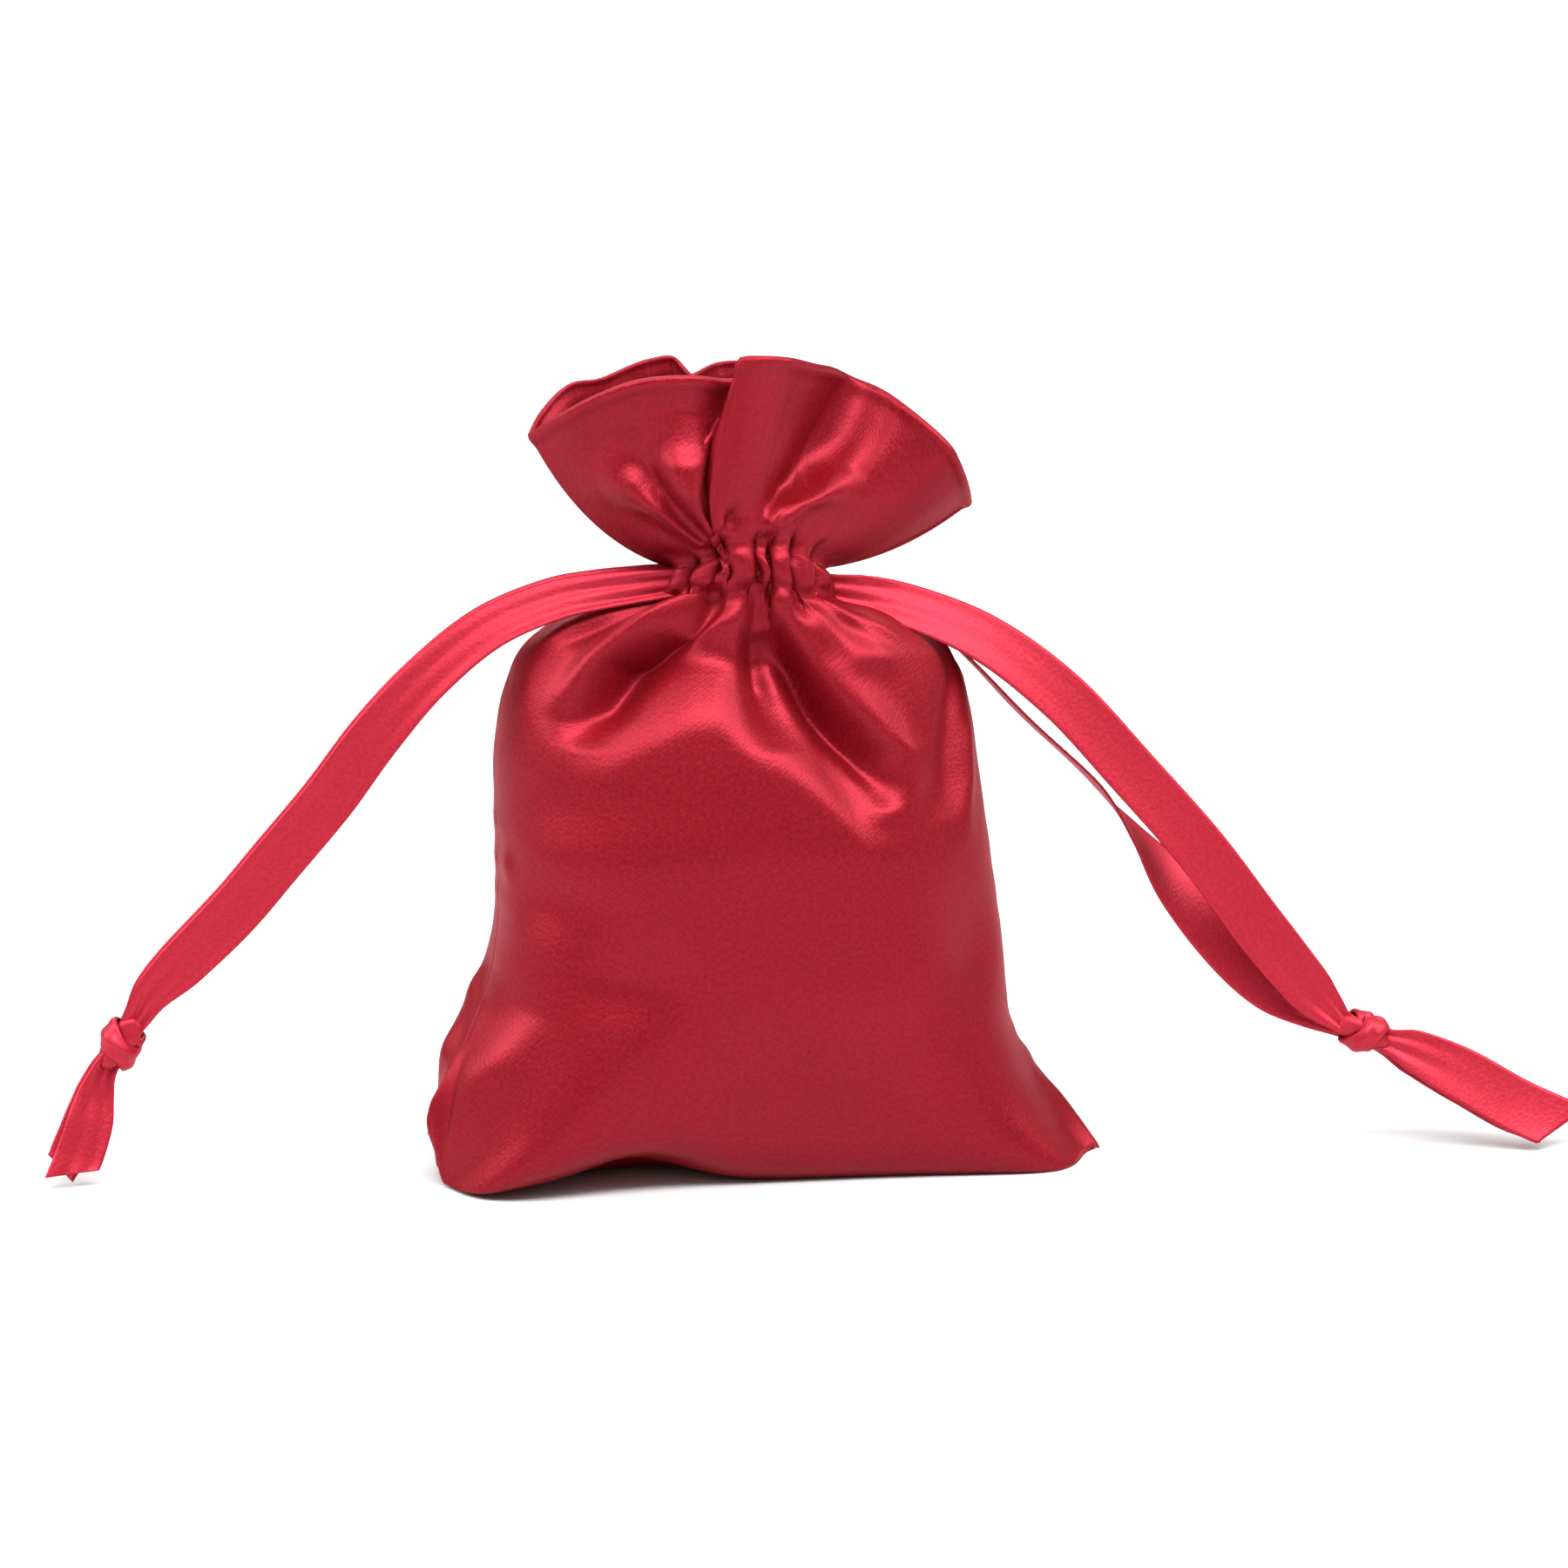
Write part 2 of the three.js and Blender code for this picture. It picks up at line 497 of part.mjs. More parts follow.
// The ribbons' tunnel round the neck, and the slits in the side seams where they come out
function tunnel() {
  const ring = new THREE.Shape().absarc(NECK_X, 0, TUNNEL_OUTER, 0, Math.PI * 2);
  ring.holes.push(new THREE.Path().absarc(NECK_X, 0, TUNNEL_INNER, 0, Math.PI * 2));
  const height = TUNNEL_HIGH - TUNNEL_LOW;
  const band = new THREE.ExtrudeGeometry(ring, {
    depth: height,
    bevelEnabled: false,
    curveSegments: TUNNEL_SEGMENTS,
  });
  let cut = solidOf(band.translate(0, 0, TUNNEL_LOW));
  for (const end of [-1, 1]) {
    const slit = new THREE.BoxGeometry(SLIT_REACH, SLIT_HALF * 2, height);
    const out = TUNNEL_INNER + GAP + SLIT_REACH / 2;
    slit.translate(NECK_X + end * out, 0, (TUNNEL_LOW + TUNNEL_HIGH) / 2);
    cut = cut.add(solidOf(slit));
  }
  return cut;
}

function panelGeometry(panel, cut) {
  const rows = [0];
  for (const { from, to, steps } of ROW_SPANS) {
    for (let k = 1; k <= steps; k += 1) rows.push(lerp(from, to, k / steps));
  }
  const columns = Array.from({ length: COLUMNS + 1 }, (_, i) => -1 + (2 * i) / COLUMNS);
  const grid = (make) => rows.map((cloth) => columns.map((s) => make(panel, s, cloth)));
  return geometryOf(solidOf(sheet(grid(outerPoint), grid(innerPoint))).subtract(cut));
}

// A flat ribbon swept along stations, each with its place, its flat side's facing, its width and thickness
function ribbonGeometry(stations) {
  const points = [];
  const index = [];
  const last = stations.length - 1;
  stations.forEach(({ place, facing, width, thick }, i) => {
    const next = stations[Math.min(i + 1, last)].place;
    const before = stations[Math.max(i - 1, 0)].place;
    const along = next.clone().sub(before).normalize();
    const normal = facing.clone().addScaledVector(along, -facing.dot(along)).normalize();
    const across = along.clone().cross(normal);
    for (const [u, v] of [[-1, -1], [1, -1], [1, 1], [-1, 1]]) {
      const corner = place.clone().addScaledVector(across, (u * width) / 2);
      points.push(corner.addScaledVector(normal, (v * thick) / 2));
    }
  });
  for (let i = 0; i < last; i += 1) {
    for (let k = 0; k < 4; k += 1) {
      const [a, b] = [i * 4 + k, i * 4 + ((k + 1) % 4)];
      index.push(a, b, b + 4, a, b + 4, a + 4);
    }
  }
  const end = last * 4;
  index.push(0, 2, 1, 0, 3, 2, end, end + 1, end + 2, end, end + 2, end + 3);
  return closedGeometry(points, index);
}

// Smooth stations through a strand's table
function stationsOf(rows, steps) {
  const places = rows.map((row) => new THREE.Vector3(...row.place));
  const path = new THREE.CatmullRomCurve3(places, false, "centripetal");
  const keyed = rows.map((row, i) => ({ ...row, key: i / (rows.length - 1) }));
  const face = column(keyed, "key", (row) => THREE.MathUtils.degToRad(row.face));
  const wide = column(keyed, "key", (row) => row.wide);
  return Array.from({ length: steps + 1 }, (_, i) => {
    const q = i / steps;
    return {
      place: path.getPoint(q),
      facing: new THREE.Vector3(0, -Math.cos(face(q)), Math.sin(face(q))),
      width: RIBBON_WIDTH * wide(q),
      thick: RIBBON_THICK,
    };
  });
}

// The stretch of a drawstring inside the tunnel
function ringStations(end, z) {
  const start = end < 0 ? Math.PI : 0;
  const way = end < 0 ? 1 : -1;
  return Array.from({ length: RING_STEPS + 1 }, (_, i) => {
    const turn = start + way * lerp(RING_SHORT, Math.PI * 2 - RING_SHORT, i / RING_STEPS);
    const out = new THREE.Vector3(Math.cos(turn), Math.sin(turn), 0);
    return {
      place: new THREE.Vector3(NECK_X, 0, z).addScaledVector(out, RING_HALF),
      facing: out,
      width: BUNCH_WIDTH,
      thick: BUNCH_THICK,
    };
  });
}

// The twin strand that runs behind a front strand
function behind(rows) {
  return rows.map(({ place: [x, y, z], apart, ...row }) => ({ place: [x, y + apart, z], ...row }));
}

// One ribbon: in along the front strand, round the neck, and out along the back strand
function drawstringGeometry(frontRows, backRows, end, z) {
  const front = stationsOf(frontRows, STRAND_STEPS).reverse();
  const back = stationsOf(backRows, STRAND_STEPS);
  const ring = ringStations(end, z);
  for (const station of front) station.facing.multiplyScalar(end < 0 ? 1 : -1);
  for (const station of back) station.facing.multiplyScalar(end < 0 ? -1 : 1);
  return ribbonGeometry([...front, ...ring, ...back]);
}

// A knot: a barrel of wound ribbon with two slanting wraps over it
function knotGeometry({ place, along, length, girth }) {
  const profile = [0, ...BARREL.map((row) => row.radius), 0].map((radius, i) => {
    const { at } = BARREL[clamp(i - 1, 0, BARREL.length - 1)];
    return new THREE.Vector2(radius * girth, at * length);
  });
  let knot = solidOf(new THREE.LatheGeometry(profile, KNOT_SIDES));
  for (const { slant, shift } of WRAPS) {
    const wrap = new THREE.TorusGeometry(girth * WRAP_LIFT, girth * WRAP_CORD, WRAP_SIDES, KNOT_SIDES);
    wrap.rotateX(Math.PI / 2).rotateZ(slant).translate(0, shift * length, 0);
    knot = knot.add(solidOf(wrap));
  }
  const turn = new THREE.Quaternion().setFromUnitVectors(
    new THREE.Vector3(0, 1, 0),
    new THREE.Vector3(...along).normalize(),
  );
  return geometryOf(knot).applyQuaternion(turn).translate(...place);
}

const bag = new THREE.Group();

function addPiece(name, geometry, finish) {
  const mesh = new THREE.Mesh(geometry, new THREE.MeshStandardMaterial(finish));
  mesh.name = name;
  bag.add(mesh);
}

const cut = tunnel();
addPiece("front_panel", panelGeometry("front", cut), SATIN);
addPiece("back_panel", panelGeometry("back", cut), SATIN);

const leftBand = TUNNEL_HIGH - BUNCH_PITCH / 2;
const rightBand = TUNNEL_LOW + BUNCH_PITCH / 2;
const { left, right_front: rightFront, right_back: rightBack } = STRANDS;
addPiece("drawstring_left", drawstringGeometry(left, behind(left), -1, leftBand), RIBBON);
addPiece("drawstring_right", drawstringGeometry(rightFront, rightBack, 1, rightBand), RIBBON);

for (const [name, knot] of Object.entries(KNOTS)) addPiece(`knot_${name}`, knotGeometry(knot), RIBBON);

for (const [name, rows] of Object.entries(TAILS)) {
  addPiece(`tail_${name}`, ribbonGeometry(stationsOf(rows, TAIL_STEPS)), RIBBON);
}

export default bag;
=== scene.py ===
"""Satin gift bag: a small red satin pouch that stands filled out, drawn shut by two knotted ribbons.

Tables are in millimetres, in the part's own frame: +Z up, the front panel faces -Y.
"""
import math

import bpy
import numpy as np
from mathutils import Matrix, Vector


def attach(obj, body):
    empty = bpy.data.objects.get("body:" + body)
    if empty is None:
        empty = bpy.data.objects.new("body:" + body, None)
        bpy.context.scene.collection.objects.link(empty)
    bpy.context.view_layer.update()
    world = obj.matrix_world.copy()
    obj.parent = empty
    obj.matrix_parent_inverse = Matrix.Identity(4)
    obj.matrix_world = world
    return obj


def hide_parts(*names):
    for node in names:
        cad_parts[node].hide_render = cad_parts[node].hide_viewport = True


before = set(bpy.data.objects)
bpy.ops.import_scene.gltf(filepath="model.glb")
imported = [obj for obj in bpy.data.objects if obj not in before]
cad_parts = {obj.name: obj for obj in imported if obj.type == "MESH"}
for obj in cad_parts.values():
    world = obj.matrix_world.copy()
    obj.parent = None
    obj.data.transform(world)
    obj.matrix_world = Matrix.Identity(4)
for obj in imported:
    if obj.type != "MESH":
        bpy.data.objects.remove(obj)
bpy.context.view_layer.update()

MM = 0.001
TINY = 1e-9

# Camera: the photo's angle, and the point at the middle of the picture
AZIMUTH, ELEVATION = -12.0, 12.0
AIM = (2.7, -0.6, 46.2)
DISTANCE = 650.0
LENS, SENSOR = 122.2, 36.0
CLIP_NEAR, CLIP_FAR = 0.01, 20

# Cloth and ribbon: THICK_EASE is how far above the neck the ruffle has its full thickness, GAP lies
# between the panels at a seam, and FLOOR_CLEAR lies under the tails
SATIN_THICK, RUFFLE_THICK, THICK_EASE = 0.3, 0.55, 4
GAP = 0.04
RIBBON_WIDTH, RIBBON_THICK = 7.0, 0.3
FLOOR_CLEAR = 0.15

# The way each panel faces along Y
SIDE = {"front": -1, "back": 1}

# Neck, and cloth distances from the bottom seam up a panel's middle
NECK_X = -1.8
NECK_LOW, NECK_TOP, RUFFLE = 87.2, 95.6, 25.0
RIM = NECK_TOP + RUFFLE

# Slits in the side seams for the ribbons
SLIT_LOW, SLIT_HIGH, SLIT_OPEN = 88.4, 94.6, 2.2
SLIT_EASE, SLIT_ACROSS = 1.6, 0.75

# The casing's inside closes to a star-shaped hole, over rows from outside to inside the neck
HOLE, STAR_DEPTH, STAR_POINTS = 4.4, 0.28, 7
CASING_OUT, CASING_IN = 3.0, 1

# Ruffle: it fans out from a point above the casing
RUFFLE_CENTRE_Z = 76.5
RUFFLE_STAND = 0.35
LEFT_DROOP, RIGHT_DROOP = 0.35, 0.1
DROOP_POWER = 3
HEM_ROLL, HEM_IN, HEM_WIDE = 0.35, 0.6, 0.7

# Folds and gathers fade out at the seams by this power
SEAM_FADE = 6

# How square the lower corners are, the rows over which that ends, and where across a panel it starts
RIGHT_EAR = 1.9
LEFT_EAR = {"front": 1.5, "back": 2.6}
EAR_FADE = (24, 46)
RIGHT_EAR_ACROSS, LEFT_EAR_ACROSS = (0.45, 0.85), (0.4, 0.9)

# Grid: columns from seam to seam, which are closer at pleats and seams, and rows by spans of cloth
FINE_COLUMNS, COLUMNS = 4001, 220
PLEAT_CLOSE, PLEAT_BAND = 2.2, 2.2
SEAM_CLOSE, SEAM_BAND = 2, 0.05
ROW_SPANS = [
    # from, to, rows
    (0, 26, 30), (26, 60, 38), (60, 84, 44), (84, 100, 44), (100, RIM, 46),
]

# Sections from the bottom seam to the neck
SECTION_COLUMNS = (
    "z", "front", "back", "square", "flat",
    "left x", "left y", "left z", "right x", "right y", "right z",
)
SECTIONS = np.array([
    # cloth, z, front, back, square, flat, left x, y, z, right x, y, z
    (0, 0, 0, 0, 2, 0.75, -42.6, -7, 6.3, 41, -8.4, 0.2),
    (8, 0, 8.5, 8.5, 7, 0.82, -42.8, -7.2, 8, 40.9, -7.8, 0.6),
    (14, 0, 14, 14, 7, 0.85, -42.4, -7.2, 9.9, 40.3, -6.6, 1.6),
    (18.5, 2.6, 16.8, 16.8, 6, 0.8, -40.8, -6.6, 12.4, 38.2, -4.4, 4.8),
    (26, 10, 18.4, 18, 4, 0.55, -37.7, -5, 17.1, 33.8, -2.4, 10.5),
    (36, 20, 19.4, 19, 3, 0.4, -34, -2.2, 24.7, 30.3, -0.8, 18),
    (46, 30, 20, 19.8, 2.6, 0.3, -32.6, 0, 32.4, 29.4, 0.3, 28),
    (56, 40, 19.8, 19.8, 2.4, 0.2, -32.4, 2, 41, 28.2, 1, 38.5),
    (65, 49, 18.2, 18.2, 2.2, 0.1, -32.4, 3, 49.5, 27.2, 1.8, 48),
    (72.5, 56.8, 16.2, 16, 2.1, 0, -31.5, 3, 57, 26.2, 2, 55.6),
    (79, 64, 14, 13.6, 2, 0, -28.7, 2, 64.2, 23.8, 1.4, 62),
    (83.5, 68.6, 11.8, 11.6, 2, 0, -21.8, 1, 68.4, 17, 0.7, 66.8),
    (NECK_LOW, 71.6, 9.6, 9.6, 2, 0, -13.4, 0.2, 70.4, 9.4, 0.2, 69.6),
    (NECK_TOP, 76.8, 9, 9, 2, 0, -11.4, 0, 73.4, 7.8, 0, 72.6),
])

# Width of cloth from a panel's middle to its seam, by cloth distance
SPREAD = np.array([
    # cloth, width
    (0, 41), (60, 41), (75, 36), (NECK_LOW, 16), (NECK_TOP, 14.5), (108, 24), (RIM, 36),
])

# The ruffle's rim: fan is the angle from upright, reach the distance from the neck, lean the distance
# from the bag's middle plane
RIM_ROWS = {
    "front": np.array([
        # at, fan, reach, lean
        (-1, -62.7, 30, 1),
        (-0.86, -51, 28.4, 7),
        (-0.68, -38, 26.3, 9.8),
        (-0.5, -23, 23.2, 10),
        (-0.34, -9.2, 20.9, 8.4),
        (-0.27, -3.8, 23.8, 10.4),
        (-0.1, 6.6, 23.5, 9.8),
        (0.05, 18.5, 23.1, 6),
        (0.2, 29.5, 23.6, 1.5),
        (0.32, 36.5, 24.1, -0.5),
        (0.45, 44.5, 24.6, 1.5),
        (0.6, 54, 25.3, 5.5),
        (0.75, 64.5, 26.3, 8),
        (0.87, 73, 27, 5.5),
        (1, 82.5, 28.2, 0),
    ]),
    "back": np.array([
        # at, fan, reach, lean
        (-1, -62.7, 30, -1),
        (-0.86, -57, 29.3, 2.6),
        (-0.7, -47.5, 28, 4.8),
        (-0.58, -41, 25.9, 4.2),
        (-0.4, -26, 23.9, 6.2),
        (-0.3, -19.5, 22.9, 7),
        (-0.21, -16, 20.4, 5),
        (0, -3, 20.6, 8.6),
        (0.3, 21, 20.8, 8.4),
        (0.55, 41, 22.5, 7.2),
        (0.78, 61, 25, 5),
        (1, 82.5, 28.2, 0),
    ]),
}

# Folds that run up and down a panel, each by its rows
FOLDS = {
    "front": {
        "left valley": [
            # cloth, at, left width, right width, height
            (90, -0.34, 0.8, 0.8, 0), (87, -0.345, 1, 1.2, -1.6), (84, -0.36, 1.2, 2.2, -3.2),
            (81.5, -0.4, 1.4, 3, -4), (79, -0.43, 1.8, 3.4, -4.4), (76.5, -0.455, 2.2, 3.2, -4.2),
            (74, -0.485, 2.6, 3, -3.8), (71.8, -0.515, 2.8, 2.8, -1.8), (69.5, -0.53, 2.8, 2.8, 0),
        ],
        "left ridge": [
            (89.5, -0.53, 1, 0.9, 0), (87.5, -0.52, 1.4, 1, 0.9), (83.5, -0.51, 2, 1.2, 1.5),
            (79.3, -0.55, 2.4, 1.4, 1.5), (75.5, -0.6, 2.6, 1.8, 1), (72.5, -0.62, 2.6, 2, 0),
        ],
        "left shoulder crease": [
            (89, -0.64, 0.8, 0.8, 0), (86, -0.68, 1.2, 1.2, -1), (83, -0.74, 1.6, 1.6, -1.2),
            (80, -0.76, 2, 2, 0),
        ],
        "left shoulder ridge": [
            (89, -0.78, 1, 1, 0), (86, -0.8, 1.6, 1.6, 1), (82, -0.85, 2, 2, 1),
            (78, -0.88, 2.4, 2.4, 0),
        ],
        "middle slit": [
            (89, -0.03, 0.8, 0.8, 0), (86, -0.02, 1, 1, -1.8), (83, -0.015, 1.2, 1.4, -2.8),
            (80, -0.01, 1.3, 1.6, -3.2), (77, 0, 1.5, 1.9, -3.2), (74.5, 0.01, 1.7, 2.2, -2.4),
            (72, 0.02, 2, 2.6, -1.2), (69.5, 0.03, 2.2, 2.8, 0),
        ],
        "right valley": [
            (89, 0.055, 0.8, 0.8, 0), (86, 0.07, 1, 0.9, -1.4), (83, 0.085, 1.8, 0.9, -2.6),
            (80, 0.12, 2.6, 0.9, -3.6), (77, 0.15, 2.6, 1.1, -4.2), (74, 0.185, 2.2, 1.4, -4.2),
            (70.5, 0.24, 2, 1.8, -3.8), (67.3, 0.295, 2, 2, -3), (64.8, 0.32, 2, 2.2, -1.6),
            (62, 0.33, 2, 2.2, 0),
        ],
        "right ridge": [
            (88.5, 0.12, 1, 2, 0), (85, 0.125, 1.1, 2.2, 0.9), (82, 0.14, 1.2, 2.6, 1.3),
            (78, 0.2, 1.4, 3, 1.5), (74, 0.275, 1.6, 3, 1.5), (70.3, 0.35, 1.8, 3, 1.4),
            (67.9, 0.41, 2, 3, 1.2), (65.5, 0.41, 2.2, 3, 0.9), (62.3, 0.36, 2.4, 3, 0.4),
            (60, 0.32, 2.4, 3, 0),
        ],
        "right side dip": [
            (83, 0.8, 2, 2, 0), (77, 0.76, 2.2, 2.2, -0.9), (73.7, 0.68, 2.4, 2.4, -1.2),
            (69.9, 0.62, 2.6, 2.6, -1.2), (66, 0.58, 2.8, 2.8, -0.9), (60, 0.53, 3, 3, 0),
        ],
        "right side strip": [
            (72, 0.8, 2, 2, 0), (68, 0.74, 2.2, 2.2, 0.6), (64.5, 0.7, 2.2, 2.2, 0.7),
            (61, 0.65, 2.2, 2.2, 0.5), (56, 0.62, 2.4, 2.4, 0),
        ],
        "corner ridge": [
            (36, -0.68, 4, 3, 0), (32, -0.73, 4.5, 3, 1), (28, -0.77, 5, 3, 2.2),
            (24, -0.82, 5, 3, 3), (20, -0.86, 4, 2.6, 2.8), (16, -0.9, 3, 2.2, 1.4),
            (12, -0.94, 2, 2, 0),
        ],
    },
    "back": {
        "left shoulder dip": [
            (88, -0.7, 2, 2, 0), (82, -0.72, 2.6, 2.6, -1.8), (76, -0.74, 3, 3, -1.2),
            (69, -0.76, 3, 3, 0),
        ],
        "left valley": [
            (88, -0.28, 1.2, 1.2, 0), (83, -0.29, 2.2, 2.2, -2.8), (75, -0.31, 3.2, 3.2, -3.6),
            (65, -0.33, 3, 3, -2.2), (57, -0.34, 3, 3, 0),
        ],
        "left ridge": [
            (86, -0.48, 2, 2, 0), (80, -0.5, 3, 3, 1.5), (72, -0.53, 3, 3, 1.3),
            (61, -0.55, 3, 3, 0),
        ],
        "right valley": [
            (88, 0.26, 1.2, 1.2, 0), (83, 0.27, 2.2, 2.2, -3), (76, 0.29, 3.2, 3.2, -3.8),
            (68, 0.31, 3.2, 3.2, -2), (60, 0.32, 3, 3, 0),
        ],
        "right shoulder dip": [
            (88, 0.66, 1.6, 1.6, 0), (82, 0.69, 2.4, 2.4, -1.8), (76, 0.72, 3, 3, -1),
            (70, 0.74, 3, 3, 0),
        ],
        "right ridge": [
            (87, 0.44, 1.4, 1.4, 0), (82, 0.48, 2.2, 2.2, 1.3), (75, 0.53, 2.6, 2.6, 1.2),
            (66, 0.56, 3, 3, 0),
        ],
        "middle crease": [
            (88, 0.02, 1, 1, 0), (84, 0.03, 1.3, 1.6, -1.6), (79, 0.05, 1.8, 2.4, -2),
            (74, 0.07, 2.2, 2.8, -1.2), (69, 0.09, 2.6, 3, 0),
        ],
        "small crease": [
            (88, -0.12, 1, 1, 0), (85, -0.13, 1.2, 1.2, -1.2), (81, -0.15, 1.6, 1.6, -1.2),
            (77, -0.17, 2, 2, 0),
        ],
    },
}

# Each panel's brow: above this line the cloth between the valleys steps in, and it comes out again
# towards the neck
BROW = {
    "front": np.array([
        # at, cloth, depth
        (-0.95, 83, 0), (-0.84, 80, 0.9), (-0.75, 77, 1.4), (-0.65, 74.5, 1.7), (-0.58, 72.5, 1.7),
        (-0.53, 71, 1.8), (-0.45, 71.6, 2.6), (-0.37, 73.6, 3.6), (-0.27, 75.6, 4.1),
        (-0.19, 76.9, 4.3), (-0.14, 77, 4.3), (-0.08, 75, 4.1), (-0.02, 73, 4.1),
        (0.035, 71.8, 4.2), (0.085, 70.2, 4.3), (0.155, 67.4, 4.2), (0.2, 65, 3.5),
        (0.25, 62.4, 2.3), (0.3, 61.4, 1.2), (0.36, 62.2, 0.5), (0.42, 65, 0),
    ]),
    "back": np.array([
        (-0.9, 80, 0), (-0.7, 76, 0.8), (-0.5, 72, 1.2), (-0.36, 69, 1.6), (-0.22, 73, 2.2),
        (-0.05, 75.5, 2.4), (0.1, 73, 2.4), (0.27, 68.5, 2), (0.42, 71.5, 1.4), (0.62, 75, 1),
        (0.85, 79, 0),
    ]),
}
BROW_HALF, BROW_FADE = 5.6, (79, 88)

# Ruffle ridges and hollows, in the same columns
RUFFLE_FOLDS = {
    "front": {
        "tall finger": [
            # cloth, at, left width, right width, height
            (97, -0.36, 0.8, 0.8, 0.6), (101, -0.38, 1.4, 1.3, 2.2), (104.5, -0.41, 2.2, 2, 3.8),
            (108.4, -0.44, 3.2, 2.8, 5), (111.4, -0.46, 3.8, 3.4, 4.4), (114, -0.46, 4, 3.6, 2),
            (117, -0.46, 4, 3.6, 0),
        ],
        "left finger": [
            (98, -0.43, 0.8, 0.7, 0.6), (101, -0.46, 1.4, 1, 1.7), (104, -0.52, 2.2, 1.4, 2.3),
            (107, -0.6, 3.2, 2, 3.2), (110, -0.69, 4, 2.4, 2.8), (112.5, -0.75, 4.4, 2.8, 1.2),
            (115, -0.78, 4.4, 3, 0),
        ],
        "finger valley": [
            (98, -0.395, 0.5, 0.5, 0), (101, -0.415, 0.6, 0.6, -1.2), (104, -0.46, 0.8, 0.9, -1.8),
            (107, -0.52, 1.1, 1.4, -2), (110, -0.59, 1.6, 2, -1.6), (113, -0.65, 2.2, 2.8, -0.8),
            (116, -0.66, 2.4, 3, 0),
        ],
        "pleat belly": [
            (96, -0.18, 1.4, 1.4, 0), (101, -0.18, 2, 2, 1), (108, -0.18, 2.6, 3, 1.2),
            (116, -0.19, 3, 3.5, 0.8), (121, -0.2, 3, 3.5, 0.4),
        ],
        "hollow": [
            (100, 0.07, 0.9, 0.9, 0), (103, 0.1, 1.6, 1.4, -2), (106.2, 0.16, 2.6, 2.2, -3.6),
            (110.4, 0.23, 3.6, 3.2, -3.8), (115.4, 0.27, 4.4, 4, -2.6), (121, 0.28, 4.6, 4.4, -1),
        ],
        "small fold": [
            (97, 0.03, 0.6, 1.4, 0), (100, 0.045, 0.8, 2.2, 1.2), (102.4, 0.09, 0.9, 3, 2),
            (103.6, 0.16, 0.9, 3.4, 2), (105, 0.25, 1, 3.6, 1.8), (107, 0.32, 1.4, 4, 1.2),
            (110, 0.38, 1.8, 4, 0),
        ],
    },
    "back": {
        "left finger": [
            (97, -0.35, 1, 1, 0.5), (103, -0.38, 1.8, 1.8, 1.8), (109, -0.4, 2.6, 2.6, 1.2),
            (115, -0.42, 3, 3, 0),
        ],
        "middle finger": [
            (97, 0.1, 1, 1, 0.5), (103, 0.12, 1.8, 1.8, 1.9), (110, 0.14, 2.6, 2.6, 1.2),
            (116, 0.15, 3, 3, 0),
        ],
        "right finger": [
            (97, 0.5, 1, 1, 0.5), (103, 0.54, 1.8, 1.8, 1.6), (109, 0.58, 2.6, 2.6, 1),
            (115, 0.6, 3, 3, 0),
        ],
        "hollow": [
            (98, -0.12, 1, 1, 0), (104, -0.12, 1.8, 1.8, -1.6), (111, -0.12, 2.8, 2.8, -1.2),
            (118, -0.12, 3, 3, 0),
        ],
    },
}

# Gathers at the neck: each is a round tube of cloth between two creases, from its low to its high row
GATHERS = {
    "front": np.array([
        # at, low, high, height
        (-1, 88, 97, 0.4),
        (-0.86, 86, 98.5, 2),
        (-0.57, 87.5, 99, 1.9),
        (-0.34, 89, 97.5, 1.1),
        (-0.24, 88, 99.5, 1.9),
        (-0.04, 85.5, 98, 1.7),
        (0.075, 84, 99.5, 2.1),
        (0.24, 86, 100.5, 2.2),
        (0.5, 87, 98.5, 1.9),
        (0.76, 87.5, 97.5, 1.2),
        (1, 88, 97, 0.4),
    ]),
    "back": np.array([
        (-1, 88, 97, 0.4),
        (-0.8, 86, 98, 1.8),
        (-0.56, 87, 99, 1.6),
        (-0.4, 86.5, 97.5, 1.1),
        (-0.31, 85.5, 100, 1.7),
        (-0.12, 87, 98, 1.3),
        (0, 86, 99.5, 1.8),
        (0.2, 87.5, 97.5, 1),
        (0.28, 85.5, 100, 1.7),
        (0.47, 86.5, 98.5, 1.9),
        (0.7, 87, 98, 1.4),
        (0.86, 87.5, 97, 0.8),
        (1, 88, 97, 0.4),
    ]),
}
GATHER_SWAY, SWAY_ALONG, SWAY_ACROSS = 0.018, 0.75, 8
GATHER_SINK, GATHER_RISE, GATHER_FALL = 0.6, 3, 4

# The neck is pinched along both edges of the casing, a little unevenly
NECK_PINCH, CASING_LOW, CASING_HIGH = 0.7, 87.6, 96.6
PINCH_LOW, PINCH_HIGH = 1.6, 1.8
PINCH_SWAY, PINCH_WAVES = 0.9, 11

# Pleats whose cloth laps over its neighbour: lap is how far, lift how high, over the rows low to high
PLEATS = {
    "front": [
        # at, half width, lap, lift, low, high
        (-0.55, 0.025, 0.8, 0.5, 87, 101),
        (-0.3, 0.03, 2.8, 1.5, 90, 150),
        (-0.04, 0.022, -0.9, 0.6, 85, 103),
        (0.075, 0.02, 0.9, 0.7, 83, 99),
        (0.24, 0.022, -0.8, 0.6, 86, 101),
    ],
    "back": [
        (-0.46, 0.025, -0.9, 0.6, 84, 100),
        (-0.18, 0.025, 0.9, 0.6, 83, 102),
        (0.1, 0.022, 0.8, 0.6, 84, 101),
        (0.36, 0.025, -0.9, 0.6, 83, 100),
    ],
}
PLEAT_RISE, PLEAT_FALL, PLEAT_REACH = 4, 5, 5

